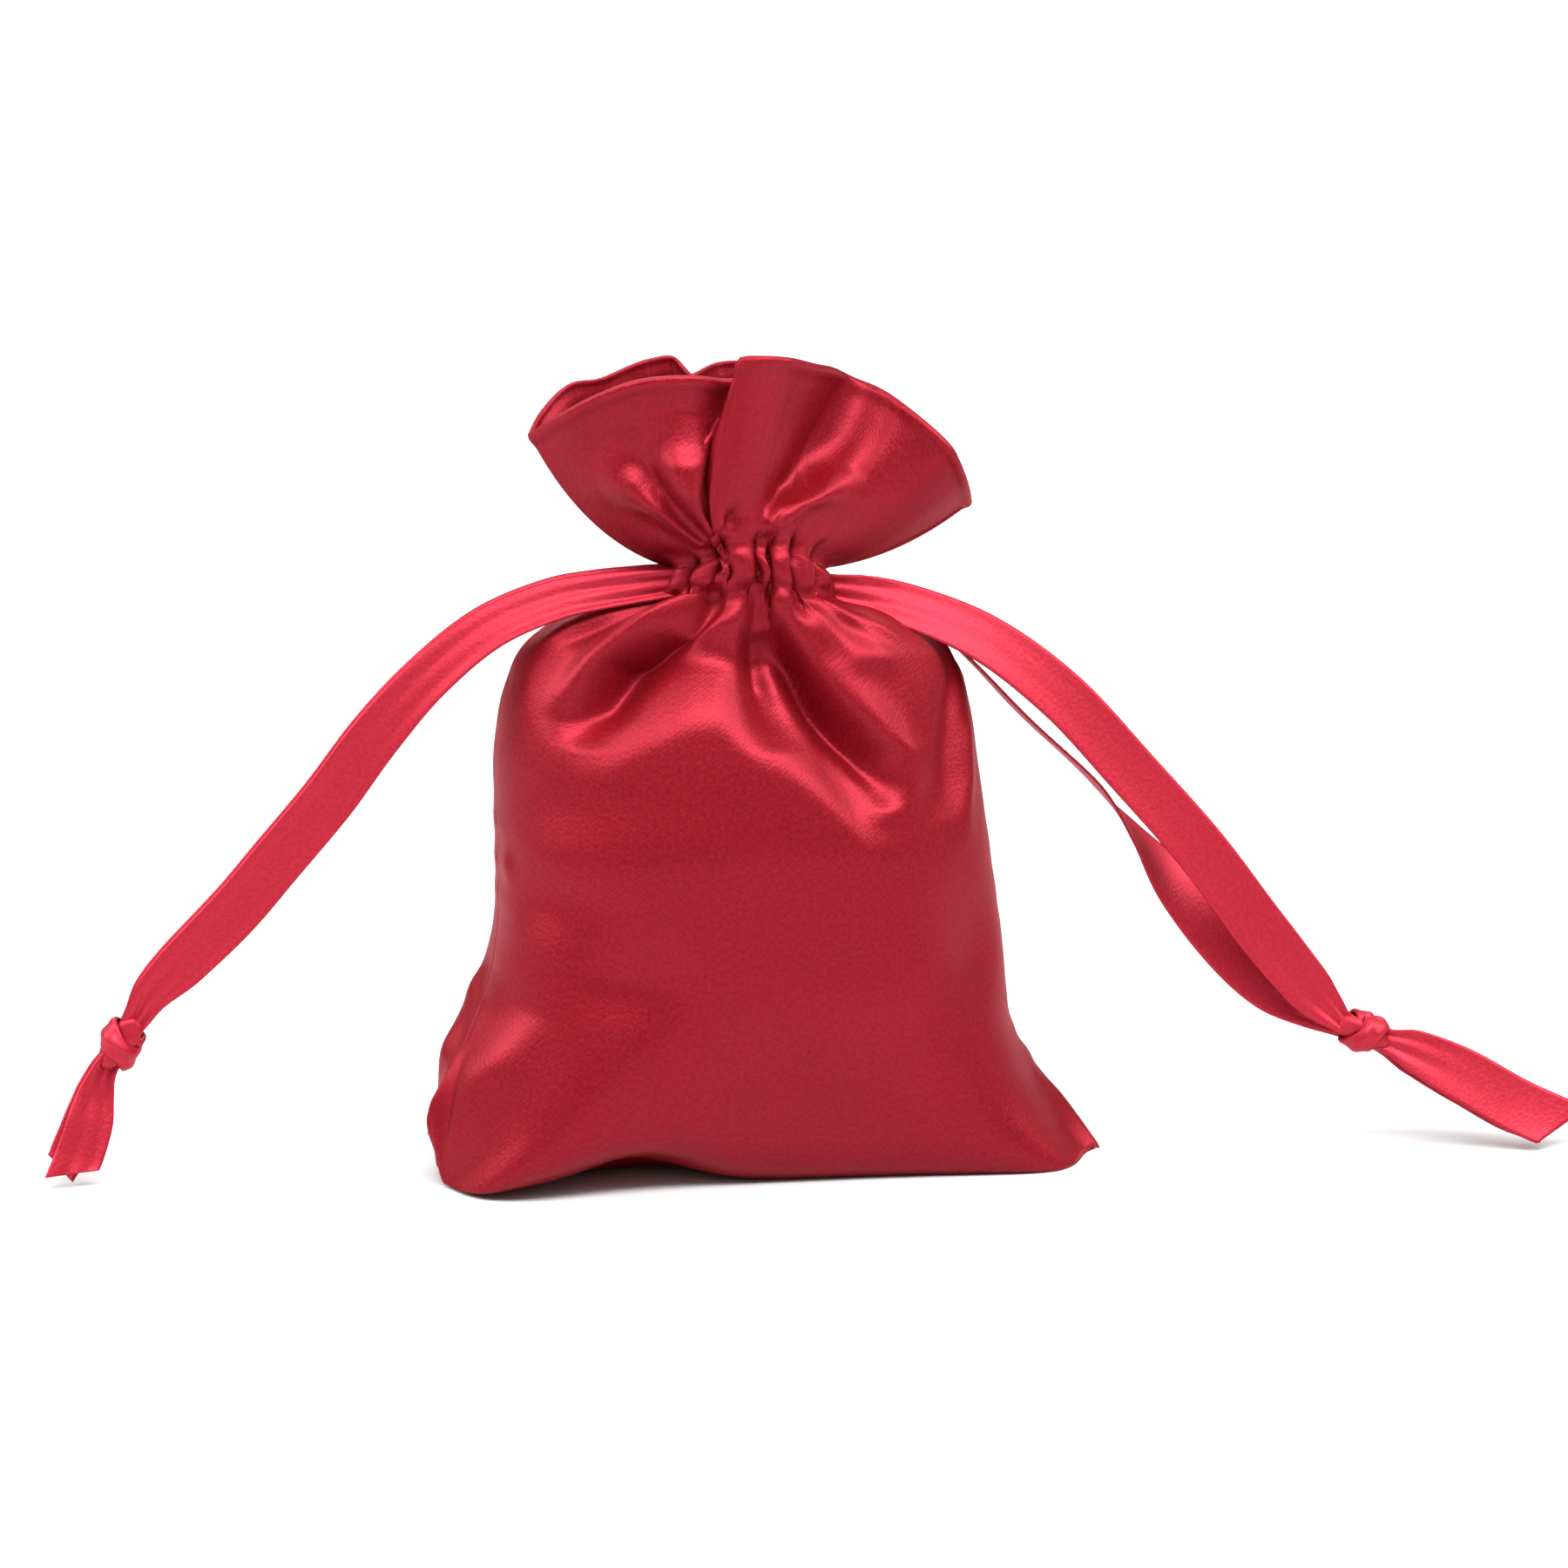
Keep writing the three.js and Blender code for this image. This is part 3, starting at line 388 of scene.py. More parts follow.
# Local swells and dents: centre, spread across and along the cloth, and the way the cloth moves
SWELLS = {
    "front": [
        # at, cloth, across, along, x, y, z
        (-0.27, 14, 0.13, 6, 0, 1.5, 2.2),
        (-0.88, 8, 0.1, 8, 1.2, 0, 0.7),
        (-0.6, 13, 0.2, 7, 0, 1.6, 0.7),
        (-0.36, 14, 0.24, 7, 0, 2, 1.4),
        (-0.62, 50, 0.26, 4, 0.1, 0.7, 0),
        (-0.66, 56, 0.26, 4, 0, -0.5, 0),
        (-0.91, 52.6, 0.05, 2, -0.7, -1.2, 0.5),
        (-0.4, 42, 0.16, 5, 0, 1.7, 0),
        (0.6, 44, 0.14, 7, -0.3, 1.6, 0),
        (0.1, 37, 0.3, 8, 0, -1, 0),
        (-0.26, 94, 0.025, 1.8, 0, 1.4, 0),
        (-0.18, 101.4, 0.05, 1.8, 0, 1.2, 0),
        (0.22, 85.3, 0.05, 1.4, 0, 1.4, 0),
        (0.36, 83, 0.06, 1.8, 0, 0.9, -0.3),
        (0.46, 86.5, 0.07, 1.4, 0, -0.7, 0.4),
        (0.53, 82.4, 0.06, 1.6, 0, -0.7, 0.3),
        (0.36, 79.2, 0.07, 1.5, 0, -0.6, 0.2),
    ],
    "back": [
        (-0.84, 26, 0.14, 10, -3, 0.6, 0),
        (-0.9, 6, 0.2, 8, 5, -3, 2.5),
        (-0.92, 33, 0.06, 2.4, -2, -1, 0.6),
        (-0.92, 25, 0.06, 3.4, -2.4, -1, 0.6),
        (0.25, 40, 0.25, 9, 0, -1.4, 0),
        (0.7, 54, 0.2, 4, -0.6, -1.2, 0),
        (-0.4, 47, 0.2, 5, 0, -0.8, 0),
    ],
}

# Puckers along the side seams, and the rows they lie in
PUCKER_PITCH, PUCKER_HEIGHT, PUCKER_REACH = 5.3, 0.3, 2.4
PUCKER_LOW, PUCKER_RISE, PUCKER_HIGH, PUCKER_FALL = 14, 8, 86, 6
SEAM_STIFF = 0.5

# Ribbon routes from the seam slits to the knots: face is how far up from the front the ribbon faces, in
# degrees, wide the share of its full width, apart the distance to the back strand
STRANDS = {
    "left": np.array([
        # x, y, z, face, wide, apart
        (-9.6, -3.8, 72.2, 5, 0.4, 3.4),
        (-12.4, -3.4, 72, 8, 0.5, 3.8),
        (-16.2, -2.8, 71.6, 20, 0.58, 3.2),
        (-20.4, -2.2, 71.1, 30, 0.66, 2.6),
        (-25.3, -1.6, 70.2, 36, 0.74, 2),
        (-33.4, -0.8, 66.9, 38, 0.8, 1.6),
        (-41, -0.3, 60.9, 34, 0.82, 1.5),
        (-47.3, 0.1, 54, 30, 0.88, 1.5),
        (-53, 0.4, 46.5, 26, 0.9, 1.5),
        (-59.3, 0.9, 39.1, 24, 0.9, 1.5),
        (-64.5, 1.5, 33, 24, 0.9, 1.5),
        (-70.7, 2.2, 26.8, 22, 0.84, 1.5),
        (-74.5, 2.9, 23, 18, 0.64, 1.5),
        (-76.2, 3.3, 20.2, 15, 0.46, 1.4),
        (-77.6, 3.7, 18, 15, 0.36, 0.9),
    ]),
    "right_front": np.array([
        # x, y, z, face, wide
        (7, -1.4, 70.4, 5, 0.5),
        (9.6, -1.8, 70, 8, 0.6),
        (12.6, -2.2, 69.4, 20, 0.72),
        (17.3, -3, 68.2, 34, 0.84),
        (26.7, -4.2, 64.1, 36, 0.94),
        (36.1, -5.7, 56.9, 30, 0.97),
        (44.7, -7.5, 47.4, 24, 0.97),
        (53.2, -9.3, 37.5, 20, 0.97),
        (60.5, -11.1, 27.5, 18, 0.97),
        (66.2, -12.6, 20.3, 16, 0.88),
        (68.9, -13.2, 17.3, 14, 0.62),
        (70.5, -13.6, 15.8, 12, 0.42),
        (72.6, -13.8, 14.7, 12, 0.36),
    ]),
    "right_back": np.array([
        (7.4, 1.2, 70.6, 5, 0.33),
        (9.9, 1.3, 70.4, 5, 0.33),
        (12.8, 1.8, 69.6, 30, 0.5),
        (17.3, 1.9, 67.6, 66, 0.8),
        (23.9, 1.4, 62.8, 92, 1),
        (32.7, -0.4, 53.5, 98, 1),
        (41.2, -2.4, 45.2, 98, 1),
        (46.8, -4.1, 38, 84, 1),
        (51.8, -5.9, 31.2, 54, 1),
        (57.1, -7.7, 25, 28, 1),
        (62.3, -9.6, 19.6, 16, 0.85),
        (67.4, -11.2, 16.6, 14, 0.6),
        (70.3, -12.1, 15.2, 12, 0.42),
        (72.6, -13, 14.4, 12, 0.36),
    ]),
}

# Cut ends below the knots
TAILS = {
    "left_front": np.array([
        # x, y, z, face, wide
        (-79.3, 3.8, 15.4, 12, 0.36),
        (-80.6, 3.6, 13.3, 12, 0.45),
        (-81.5, 3.2, 11, 16, 0.62),
        (-82.6, 1.8, 7.3, 20, 0.8),
        (-84, 0.6, 3.8, 24, 0.82),
        (-85, -0.2, 1.9, 26, 0.8),
    ]),
    "left_back": np.array([
        (-79.3, 4.6, 15.4, 12, 0.36),
        (-80.7, 5.1, 13.2, 12, 0.45),
        (-81.7, 4.9, 10.8, 16, 0.6),
        (-83.2, 3.8, 7.2, 20, 0.7),
        (-85, 2.8, 3.9, 24, 0.66),
        (-86.2, 2.2, 2, 26, 0.6),
    ]),
    "right_front": np.array([
        (74, -14.1, 14.2, 12, 0.36),
        (76, -14.8, 13.4, 12, 0.45),
        (79, -15.6, 12.3, 18, 0.75),
        (85.3, -17.3, 9.1, 22, 0.97),
        (91.6, -19, 5.4, 26, 1),
        (97, -20.5, 2.9, 30, 1),
    ]),
    "right_back": np.array([
        (74, -13.4, 13.9, 12, 0.36),
        (76, -13.3, 13, 12, 0.45),
        (79, -14, 11.7, 18, 0.75),
        (85.3, -15.5, 8.4, 26, 0.95),
        (90.6, -16.9, 5, 32, 0.9),
        (94.4, -17.8, 3, 36, 0.7),
    ]),
}

# How far either edge of a cut end lies from a square cut
SLANTS = {"left_front": 1.7, "left_back": -0.8, "right_front": -2.2, "right_back": 1.6}
CUT_POWER = 5

# Ribbon grids: lengthwise creases where a ribbon is bunched, the curl of its edges, and its slow wobble
STRAND_STEPS, TAIL_STEPS, RIBBON_COLUMNS = 150, 60, 19
CREASE_HEIGHT, CREASES, CREASE_SHIFT = 0.35, 1.25, 0.1
CREASE_DRIFT, DRIFT_LENGTH = 0.8, 11
STRAND_CURL, TAIL_CURL, CURL_LEVEL = 0.22, 0.2, 0.33
WOBBLE, WOBBLE_LENGTH = 0.1, 6.5
SELVEDGE, SELVEDGE_THIN = 0.93, 0.8

# Knots: middle, the way the ribbon runs through, length and girth
KNOTS = {
    "left": ((-78.4, 4.1, 16.7), (-0.55, 0.05, -0.83), 7.4, 1.7),
    "right": ((73.2, -13.7, 14.4), (0.88, -0.2, -0.43), 7, 1.6),
}
KNOT_TURNS, KNOT_START, KNOT_PITCH = 1.7, -1.2, 0.34
KNOT_BAND, KNOT_BULGE, KNOT_TUCK, KNOT_SINK = 3.2, 0.5, 0.14, 0.1
LOBE = 0.12
CORE_COLUMNS, CORE_ROWS, WRAP_COLUMNS, WRAP_ROWS = 33, 25, 13, 90

# Finishes: colour in the weave's shade and light, tint of the gloss, roughness, and the threads' pitch
# in metres
FINISHES = {
    "satin": ((0.149, 0.0023, 0.005), (0.272, 0.0049, 0.0103), (1.0, 0.27, 0.41), 0.46, 0.0005),
    "ribbon": ((0.325, 0.0112, 0.022), (0.43, 0.0172, 0.033), (1.0, 0.29, 0.43), 0.42, 0.0003),
}
GLOSS = {"Metallic": 0.46, "Anisotropic": 0.4, "Specular IOR Level": 0.85}
WEAVE_SLANT = 52
SLUB_SCALE, SLUB_SHARE = 2000.0, 0.92
BROAD_SCALE, BROAD_SHARE = 120.0, 0.12
SHADE_LOW, SHADE_HIGH = 0.28, 0.8
ROUGH_SPREAD = 0.05
BUMP_STRENGTH, BUMP_DISTANCE = 0.35, 0.00015

# Floor, dome and softboxes, in metres and watts
# The floor's colour is painted light and shade: grey up to FLOOR_NEAR from the bag, which dims the
# floor's bounce and reflection on the satin, and painted lighter out to FLOOR_FAR, where the lamps'
# light falls off
FLOOR_SIZE, FLOOR_NEAR, FLOOR_FAR = 16, 0.5, 1.6
FLOOR_GRAIN, FLOOR_GRAIN_SCALE, FLOOR_ROUGHNESS = 0.08, 40.0, 0.9
FLOOR_PAINTED_LIGHT_STOPS = ((0, (0.58, 0.58, 0.58)), (1, (0.95, 0.95, 0.95)))
DOME_STOPS = ((0.1, (0.08, 0.08, 0.08)), (1, (1, 1, 1)))
DOME_STRENGTH = 1.3
BAG_MIDDLE = (0, 0, 0.05)
LIGHTS = {
    # place, target, size, power
    "key softbox": ((0, -0.5, 0.9), BAG_MIDDLE, (1.2, 0.34), 15.8),
    "left softbox": ((-0.9, 0.1, 0.6), BAG_MIDDLE, (0.5, 0.5), 8),
    "right softbox": ((0.72, -0.26, 0.72), BAG_MIDDLE, (0.5, 0.5), 5.5),
    "backdrop light": ((0, 3, 2), (0, 3, 0), (4, 2), 90),
}


def column(xs, ys):
    """A smooth curve through a table's column that never swings past its rows."""
    order = np.argsort(xs)
    xs, ys = xs[order], ys[order]
    slope = np.diff(ys) / np.diff(xs)
    same = slope[:-1] * slope[1:]
    total = np.where(same > 0, slope[:-1] + slope[1:], 1)
    turn = np.concatenate([slope[:1], np.where(same > 0, 2 * same / total, 0), slope[-1:]])

    def curve(v):
        i = np.clip(np.searchsorted(xs, v, side="right") - 1, 0, len(xs) - 2)
        step = xs[i + 1] - xs[i]
        q = np.clip((v - xs[i]) / step, 0, 1)
        low, high = 2 * q**3 - 3 * q**2 + 1, 3 * q**2 - 2 * q**3
        bend = (q**3 - 2 * q**2 + q) * turn[i] + (q**3 - q**2) * turn[i + 1]
        return low * ys[i] + high * ys[i + 1] + step * bend

    return curve


def curves(rows):
    """A smooth curve for each further column of a table, by its first column."""
    rows = np.asarray(rows, float)
    return [column(rows[:, 0], values) for values in rows.T[1:]]


def ease(low, high, v):
    """0 up to low, 1 from high on, and a smooth step between them."""
    q = np.clip((v - low) / (high - low), 0, 1)
    return q * q * (3 - 2 * q)


def span(low, rise, high, fall, v):
    """1 between low and high, with a smooth step inside either end, and 0 outside."""
    return ease(low, low + rise, v) * (1 - ease(high - fall, high, v))


def bell(v):
    """A bump of height 1 at 0 that is gone by about 2."""
    return np.exp(-v * v)


def unit(v):
    """Vectors at length 1."""
    return v / np.maximum(np.linalg.norm(v, axis=-1, keepdims=True), TINY)


def push(points, way, amount):
    """Points moved by an amount each along a way."""
    return points + way * amount[..., None]


section = dict(zip(SECTION_COLUMNS, curves(SECTIONS)))
(spread,) = curves(SPREAD)
rim = {panel: curves(rows) for panel, rows in RIM_ROWS.items()}


def seam_plane(s, cloth):
    """The y of the plane between the panels, which runs from seam to seam."""
    return section["left y"](cloth) * ease(0, 1, -s) + section["right y"](cloth) * ease(0, 1, s)


def body_points(panel, s, cloth):
    """The smooth bag below the ruffle."""
    across = np.sin(s * np.pi / 2)
    square = section["square"](cloth)
    corner = 1 - ease(*EAR_FADE, cloth)
    square = square + (RIGHT_EAR - square) * corner * ease(*RIGHT_EAR_ACROSS, s)
    square = square + (LEFT_EAR[panel] - square) * corner * ease(*LEFT_EAR_ACROSS, -s)
    bulge = np.maximum(1 - np.abs(across) ** square, 0) ** (1 / square)
    slit = SLIT_OPEN * span(SLIT_LOW, SLIT_EASE, SLIT_HIGH, SLIT_EASE, cloth)
    out = np.maximum(section[panel](cloth) * bulge, slit * ease(SLIT_ACROSS, 1, np.abs(s)))
    flat, z = section["flat"](cloth), section["z"](cloth)
    left, right = section["left x"](cloth), section["right x"](cloth)
    left_rise = (section["left z"](cloth) - z) * ease(flat, 1, -s)
    right_rise = (section["right z"](cloth) - z) * ease(flat, 1, s)
    return np.stack([
        (left + right) / 2 + (right - left) / 2 * across,
        seam_plane(s, cloth) + SIDE[panel] * (GAP / 2 + out),
        z + left_rise + right_rise,
    ], axis=-1)


def ruffle_points(panel, s, cloth):
    """The ruffle, which leaves the casing upright and fans out to its rim."""
    foot = body_points(panel, s, np.full_like(cloth, NECK_TOP))
    fan, reach, lean = [curve(s) for curve in rim[panel]]
    fan = np.radians(fan)
    tip = np.stack([
        NECK_X + reach * np.sin(fan),
        SIDE[panel] * (GAP / 2 + lean),
        RUFFLE_CENTRE_Z + reach * np.cos(fan),
    ], axis=-1)
    rise = 1 + (np.where(s < 0, LEFT_DROOP, RIGHT_DROOP) - 1) * np.abs(s) ** DROOP_POWER
    upright = np.stack([np.sin(s * np.pi / 2), 0 * s, rise], axis=-1)
    bend = push(foot, upright, RUFFLE_STAND * reach)
    q = np.clip((cloth - NECK_TOP) / RUFFLE, 0, 1)[..., None]
    return (1 - q) ** 2 * foot + 2 * q * (1 - q) * bend + q * q * tip


def frame_of(panel, points):
    """Each grid point's way across the panel, and the way its cloth faces."""
    across = unit(np.gradient(points, axis=1))
    along = unit(np.gradient(points, axis=0))
    return across, unit(np.cross(across, along)) * -SIDE[panel]


def fold_height(folds, s, cloth):
    """How far folds push the cloth out."""
    height = np.zeros_like(s)
    for rows in folds.values():
        at, left, right, high = curves(rows)
        away = (s - at(cloth)) * spread(cloth)
        wide = np.where(away < 0, left(cloth), right(cloth))
        ends = [row[0] for row in rows]
        inside = (cloth >= min(ends)) & (cloth <= max(ends))
        height += np.where(inside, high(cloth) * bell(away / wide), 0)
    return height


def pucker_height(s, cloth):
    """How far the puckers along the seams push the cloth out, uneven in pitch and in height."""
    from_seam = (1 - np.abs(s)) * spread(cloth)
    uneven = 2.2 * np.sin(cloth / 7) + np.where(s > 0, 2, 0)
    wave = np.sin(2 * np.pi * cloth / PUCKER_PITCH + uneven) * (0.6 + 0.4 * np.sin(cloth / 4.1 + 1))
    share = np.exp(-from_seam / PUCKER_REACH) * (from_seam / (from_seam + SEAM_STIFF))
    rows = span(PUCKER_LOW, PUCKER_RISE, PUCKER_HIGH, PUCKER_FALL, cloth)
    return PUCKER_HEIGHT * wave * share * rows


def folded(panel, points, s, cloth, fade):
    """The panel with its folds, its brow and its swells."""
    _, facing = frame_of(panel, points)
    height = fold_height(FOLDS[panel], s, cloth) + fold_height(RUFFLE_FOLDS[panel], s, cloth)
    edge, depth = [curve(s) for curve in curves(BROW[panel])]
    height -= depth * ease(-BROW_HALF, BROW_HALF, cloth - edge) * (1 - ease(*BROW_FADE, cloth))
    points = push(points, facing, height * fade)
    for at, row, wide, long, *move in SWELLS[panel]:
        share = bell((s - at) / wide) * bell((cloth - row) / long) * fade
        points = push(points, np.array(move), share)
    return points


def gathered(panel, points, s, cloth, fade):
    """The panel with the gathers of its neck, pinched along both edges of the casing."""
    _, facing = frame_of(panel, points)
    starts, lows, highs, heights = GATHERS[panel].T
    bent = s + GATHER_SWAY * np.sin(SWAY_ALONG * cloth + SWAY_ACROSS * s) * (1 - s * s)
    tube = np.clip(np.searchsorted(starts, bent, side="right") - 1, 0, len(starts) - 2)
    start, end = starts[tube], starts[tube + 1]
    off_middle = (2 * bent - start - end) / (end - start)
    roundness = np.sqrt(np.clip(1 - off_middle**2, 0, 1)) - GATHER_SINK
    share = span(lows[tube], GATHER_RISE, highs[tube], GATHER_FALL, cloth)
    uneven = PINCH_SWAY * np.sin(PINCH_WAVES * s + 1)
    low_edge = bell((cloth - CASING_LOW - uneven) / PINCH_LOW)
    high_edge = bell((cloth - CASING_HIGH + uneven) / PINCH_HIGH)
    height = heights[tube] * roundness * share - NECK_PINCH * (low_edge + high_edge)
    return push(points, facing, height * fade)


def pleated(panel, points, s, cloth, fade):
    """The panel with its lapped pleats, and with the puckers along its seams."""
    across, facing = frame_of(panel, points)
    lap, lift = np.zeros_like(s), np.zeros_like(s)
    for at, half, far, high, low_row, high_row in PLEATS[panel]:
        share = span(low_row, PLEAT_RISE, high_row, PLEAT_FALL, cloth)
        step = np.tanh((s - at) / half) * share * bell((s - at) / (PLEAT_REACH * half))
        lap -= far / 2 * step
        lift += np.sign(far) * high / 2 * step
    points = push(points, across, lap * fade)
    return push(points, facing, lift * fade + pucker_height(s, cloth))


def inner_face(panel, outer, facing, s, cloth):
    """The panel's inside: the cloth's thickness in, and at the casing in to the star-shaped hole."""
    side = SIDE[panel]
    thick = SATIN_THICK + (RUFFLE_THICK - SATIN_THICK) * ease(NECK_LOW, NECK_TOP + THICK_EASE, cloth)
    inner = push(outer, facing, -thick)
    turn = s * np.pi / 2
    star = HOLE * (1 - STAR_DEPTH + STAR_DEPTH * np.cos(STAR_POINTS * np.pi * (s + 1)))
    hole = np.stack([
        NECK_X + star * np.sin(turn),
        side * (GAP / 2 + star * np.cos(turn)),
        inner[..., 2],
    ], axis=-1)
    step = CASING_OUT + CASING_IN
    casing = span(NECK_LOW - CASING_OUT, step, NECK_TOP + CASING_OUT, step, cloth)
    inner = push(inner, hole - inner, casing)
    limit = seam_plane(s, np.minimum(cloth, NECK_TOP)) + side * (GAP / 2)
    held = side * np.maximum(side * inner[..., 1], side * limit)
    inner[..., 1] = np.where(cloth <= NECK_TOP, held, inner[..., 1])
    return inner


def columns_of(panel):
    """Columns from seam to seam, closer together at the lapped pleats and at the seams."""
    s = np.linspace(-1, 1, FINE_COLUMNS)
    close = np.ones_like(s)
    for at, half, *_ in PLEATS[panel]:
        close += PLEAT_CLOSE * bell((s - at) / (PLEAT_BAND * half))
    close += SEAM_CLOSE * (bell((s - 1) / SEAM_BAND) + bell((s + 1) / SEAM_BAND))
    total = np.concatenate([[0], np.cumsum((close[1:] + close[:-1]) / 2)])
    return np.interp(np.linspace(0, total[-1], COLUMNS), total, s)


def rows_of():
    """Rows from the bottom seam to the rim, closer together at the neck."""
    return np.concatenate([[0], *(np.linspace(low, high, n + 1)[1:] for low, high, n in ROW_SPANS)])


def laid_flat(points):
    """Cloth coordinates by true lengths, from the panel's middle and a third of its rows up."""
    wide = np.linalg.norm(np.diff(points, axis=1, prepend=points[:, :1]), axis=-1).cumsum(axis=1)
    tall = np.linalg.norm(np.diff(points, axis=0, prepend=points[:1]), axis=-1).cumsum(axis=0)
    third, middle = len(points) // 3, len(points[0]) // 2
    return np.stack([wide - wide[:, [middle]], tall - tall[[third]]], axis=-1)


def panel_grids(panel):
    """The panel's outer and inner face, and its cloth coordinates."""
    s, cloth = np.meshgrid(columns_of(panel), rows_of())
    fade = 1 - np.abs(s) ** SEAM_FADE
    body = body_points(panel, s, np.minimum(cloth, NECK_TOP))
    points = np.where((cloth <= NECK_TOP)[..., None], body, ruffle_points(panel, s, cloth))
    for step in (folded, gathered, pleated):
        points = step(panel, points, s, cloth, fade)
    _, facing = frame_of(panel, points)
    outer = push(points, facing, HEM_ROLL * bell((cloth - RIM + HEM_IN) / HEM_WIDE))
    return outer, inner_face(panel, outer, facing, s, cloth), laid_flat(outer)


def quads(ids):
    """The faces of a grid of point numbers."""
    return np.stack([ids[:-1, :-1], ids[:-1, 1:], ids[1:, 1:], ids[1:, :-1]], axis=-1).reshape(-1, 4)


def shell(outer, inner, uv):
    """Points, faces and cloth coordinates of a closed sheet between two grids."""
    points = np.concatenate([outer.reshape(-1, 3), inner.reshape(-1, 3)])
    rows, columns = outer.shape[:2]
    ids = np.arange(rows * columns).reshape(rows, columns)
    back = ids + rows * columns
    faces = [quads(ids), quads(back)[:, ::-1]]
    for edge, far in (
        (ids[0, ::-1], back[0, ::-1]),
        (ids[-1], back[-1]),
        (ids[:, 0], back[:, 0]),
        (ids[::-1, -1], back[::-1, -1]),
    ):
        faces.append(np.stack([edge[:-1], edge[1:], far[1:], far[:-1]], axis=-1))
    return points, np.concatenate(faces), np.concatenate([uv.reshape(-1, 2)] * 2)


def piece(name, points, faces, uv, material, nodes, flip=False):
    """A smooth mesh piece in the part's frame, with its cloth coordinates as a UV map in metres."""
    mesh = bpy.data.meshes.new(name)
    faces = faces[:, ::-1] if flip else faces
    mesh.from_pydata((points * MM).tolist(), [], faces.tolist())
    layer = mesh.uv_layers.new(name="cloth")
    corners = np.zeros(len(mesh.loops), np.int32)
    mesh.loops.foreach_get("vertex_index", corners)
    layer.data.foreach_set("uv", (uv[corners] * MM).astype(np.float32).ravel())
    mesh.polygons.foreach_set("use_smooth", np.ones(len(mesh.polygons), bool))
    mesh.materials.append(material)
    mesh.update()
    obj = bpy.data.objects.new(name, mesh)
    bpy.context.scene.collection.objects.link(obj)
    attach(obj, "root")
    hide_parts(*nodes)
    return obj


def node(tree, kind, **values):
    """A shader node with its settings and inputs, whose names have _ for a space."""
    made = tree.nodes.new(kind)
    for key, value in values.items():
        if hasattr(made, key):
            setattr(made, key, value)
        else:
            made.inputs[key.replace("_", " ")].default_value = value
    return made


def ramp_node(tree, stops):
    """A colour ramp between two stops, each a position and a colour."""
    made = node(tree, "ShaderNodeValToRGB")
    for stop, (position, colour) in zip(made.color_ramp.elements, stops):
        stop.position, stop.color = position, (*colour, 1)
    return made


def satin_material(name, deep, light, tint, roughness, pitch):
    """Satin: a slanted weave that glints along its threads."""
    material = bpy.data.materials.new(name)
    material.use_nodes = True
    tree = material.node_tree
    link = tree.links.new
    surface = tree.nodes["Principled BSDF"]
    cloth = node(tree, "ShaderNodeUVMap", uv_map="cloth")
    turned = node(tree, "ShaderNodeMapping", Rotation=(0, 0, math.radians(WEAVE_SLANT)))
    link(cloth.outputs["UV"], turned.inputs["Vector"])
    # At scale 1 this texture repeats every pi / 10
    threads = node(tree, "ShaderNodeTexWave", Scale=math.pi / (10 * pitch), Distortion=1.0,
                   Detail=2.0, Detail_Scale=3.0)
    link(turned.outputs["Vector"], threads.inputs["Vector"])
    slub = node(tree, "ShaderNodeTexNoise", Scale=SLUB_SCALE, Detail=3.0)
    link(cloth.outputs["UV"], slub.inputs["Vector"])
    broad = node(tree, "ShaderNodeTexNoise", Scale=BROAD_SCALE, Detail=2.0)
    link(cloth.outputs["UV"], broad.inputs["Vector"])
    mixed = node(tree, "ShaderNodeMix", data_type="FLOAT")
    mixed.inputs[0].default_value = SLUB_SHARE
    link(threads.outputs["Fac"], mixed.inputs[2])
    link(slub.outputs["Fac"], mixed.inputs[3])
    shade = node(tree, "ShaderNodeMath", operation="MULTIPLY_ADD")
    link(broad.outputs["Fac"], shade.inputs[0])
    shade.inputs[1].default_value = BROAD_SHARE
    link(mixed.outputs[0], shade.inputs[2])
    ramp = ramp_node(tree, ((SHADE_LOW, deep), (SHADE_HIGH, light)))
    link(shade.outputs[0], ramp.inputs["Fac"])
    link(ramp.outputs["Color"], surface.inputs["Base Color"])
    rough = node(tree, "ShaderNodeMapRange",
                 To_Min=roughness - ROUGH_SPREAD, To_Max=roughness + ROUGH_SPREAD)
    link(slub.outputs["Fac"], rough.inputs["Value"])
    link(rough.outputs["Result"], surface.inputs["Roughness"])
    bump = node(tree, "ShaderNodeBump", Strength=BUMP_STRENGTH, Distance=BUMP_DISTANCE)
    link(mixed.outputs[0], bump.inputs["Height"])
    link(bump.outputs["Normal"], surface.inputs["Normal"])
    tangent = node(tree, "ShaderNodeTangent", direction_type="UV_MAP", uv_map="cloth")
    link(tangent.outputs["Tangent"], surface.inputs["Tangent"])
    for key, value in GLOSS.items():
        surface.inputs[key].default_value = value
    surface.inputs["Specular Tint"].default_value = (*tint, 1)
    return material


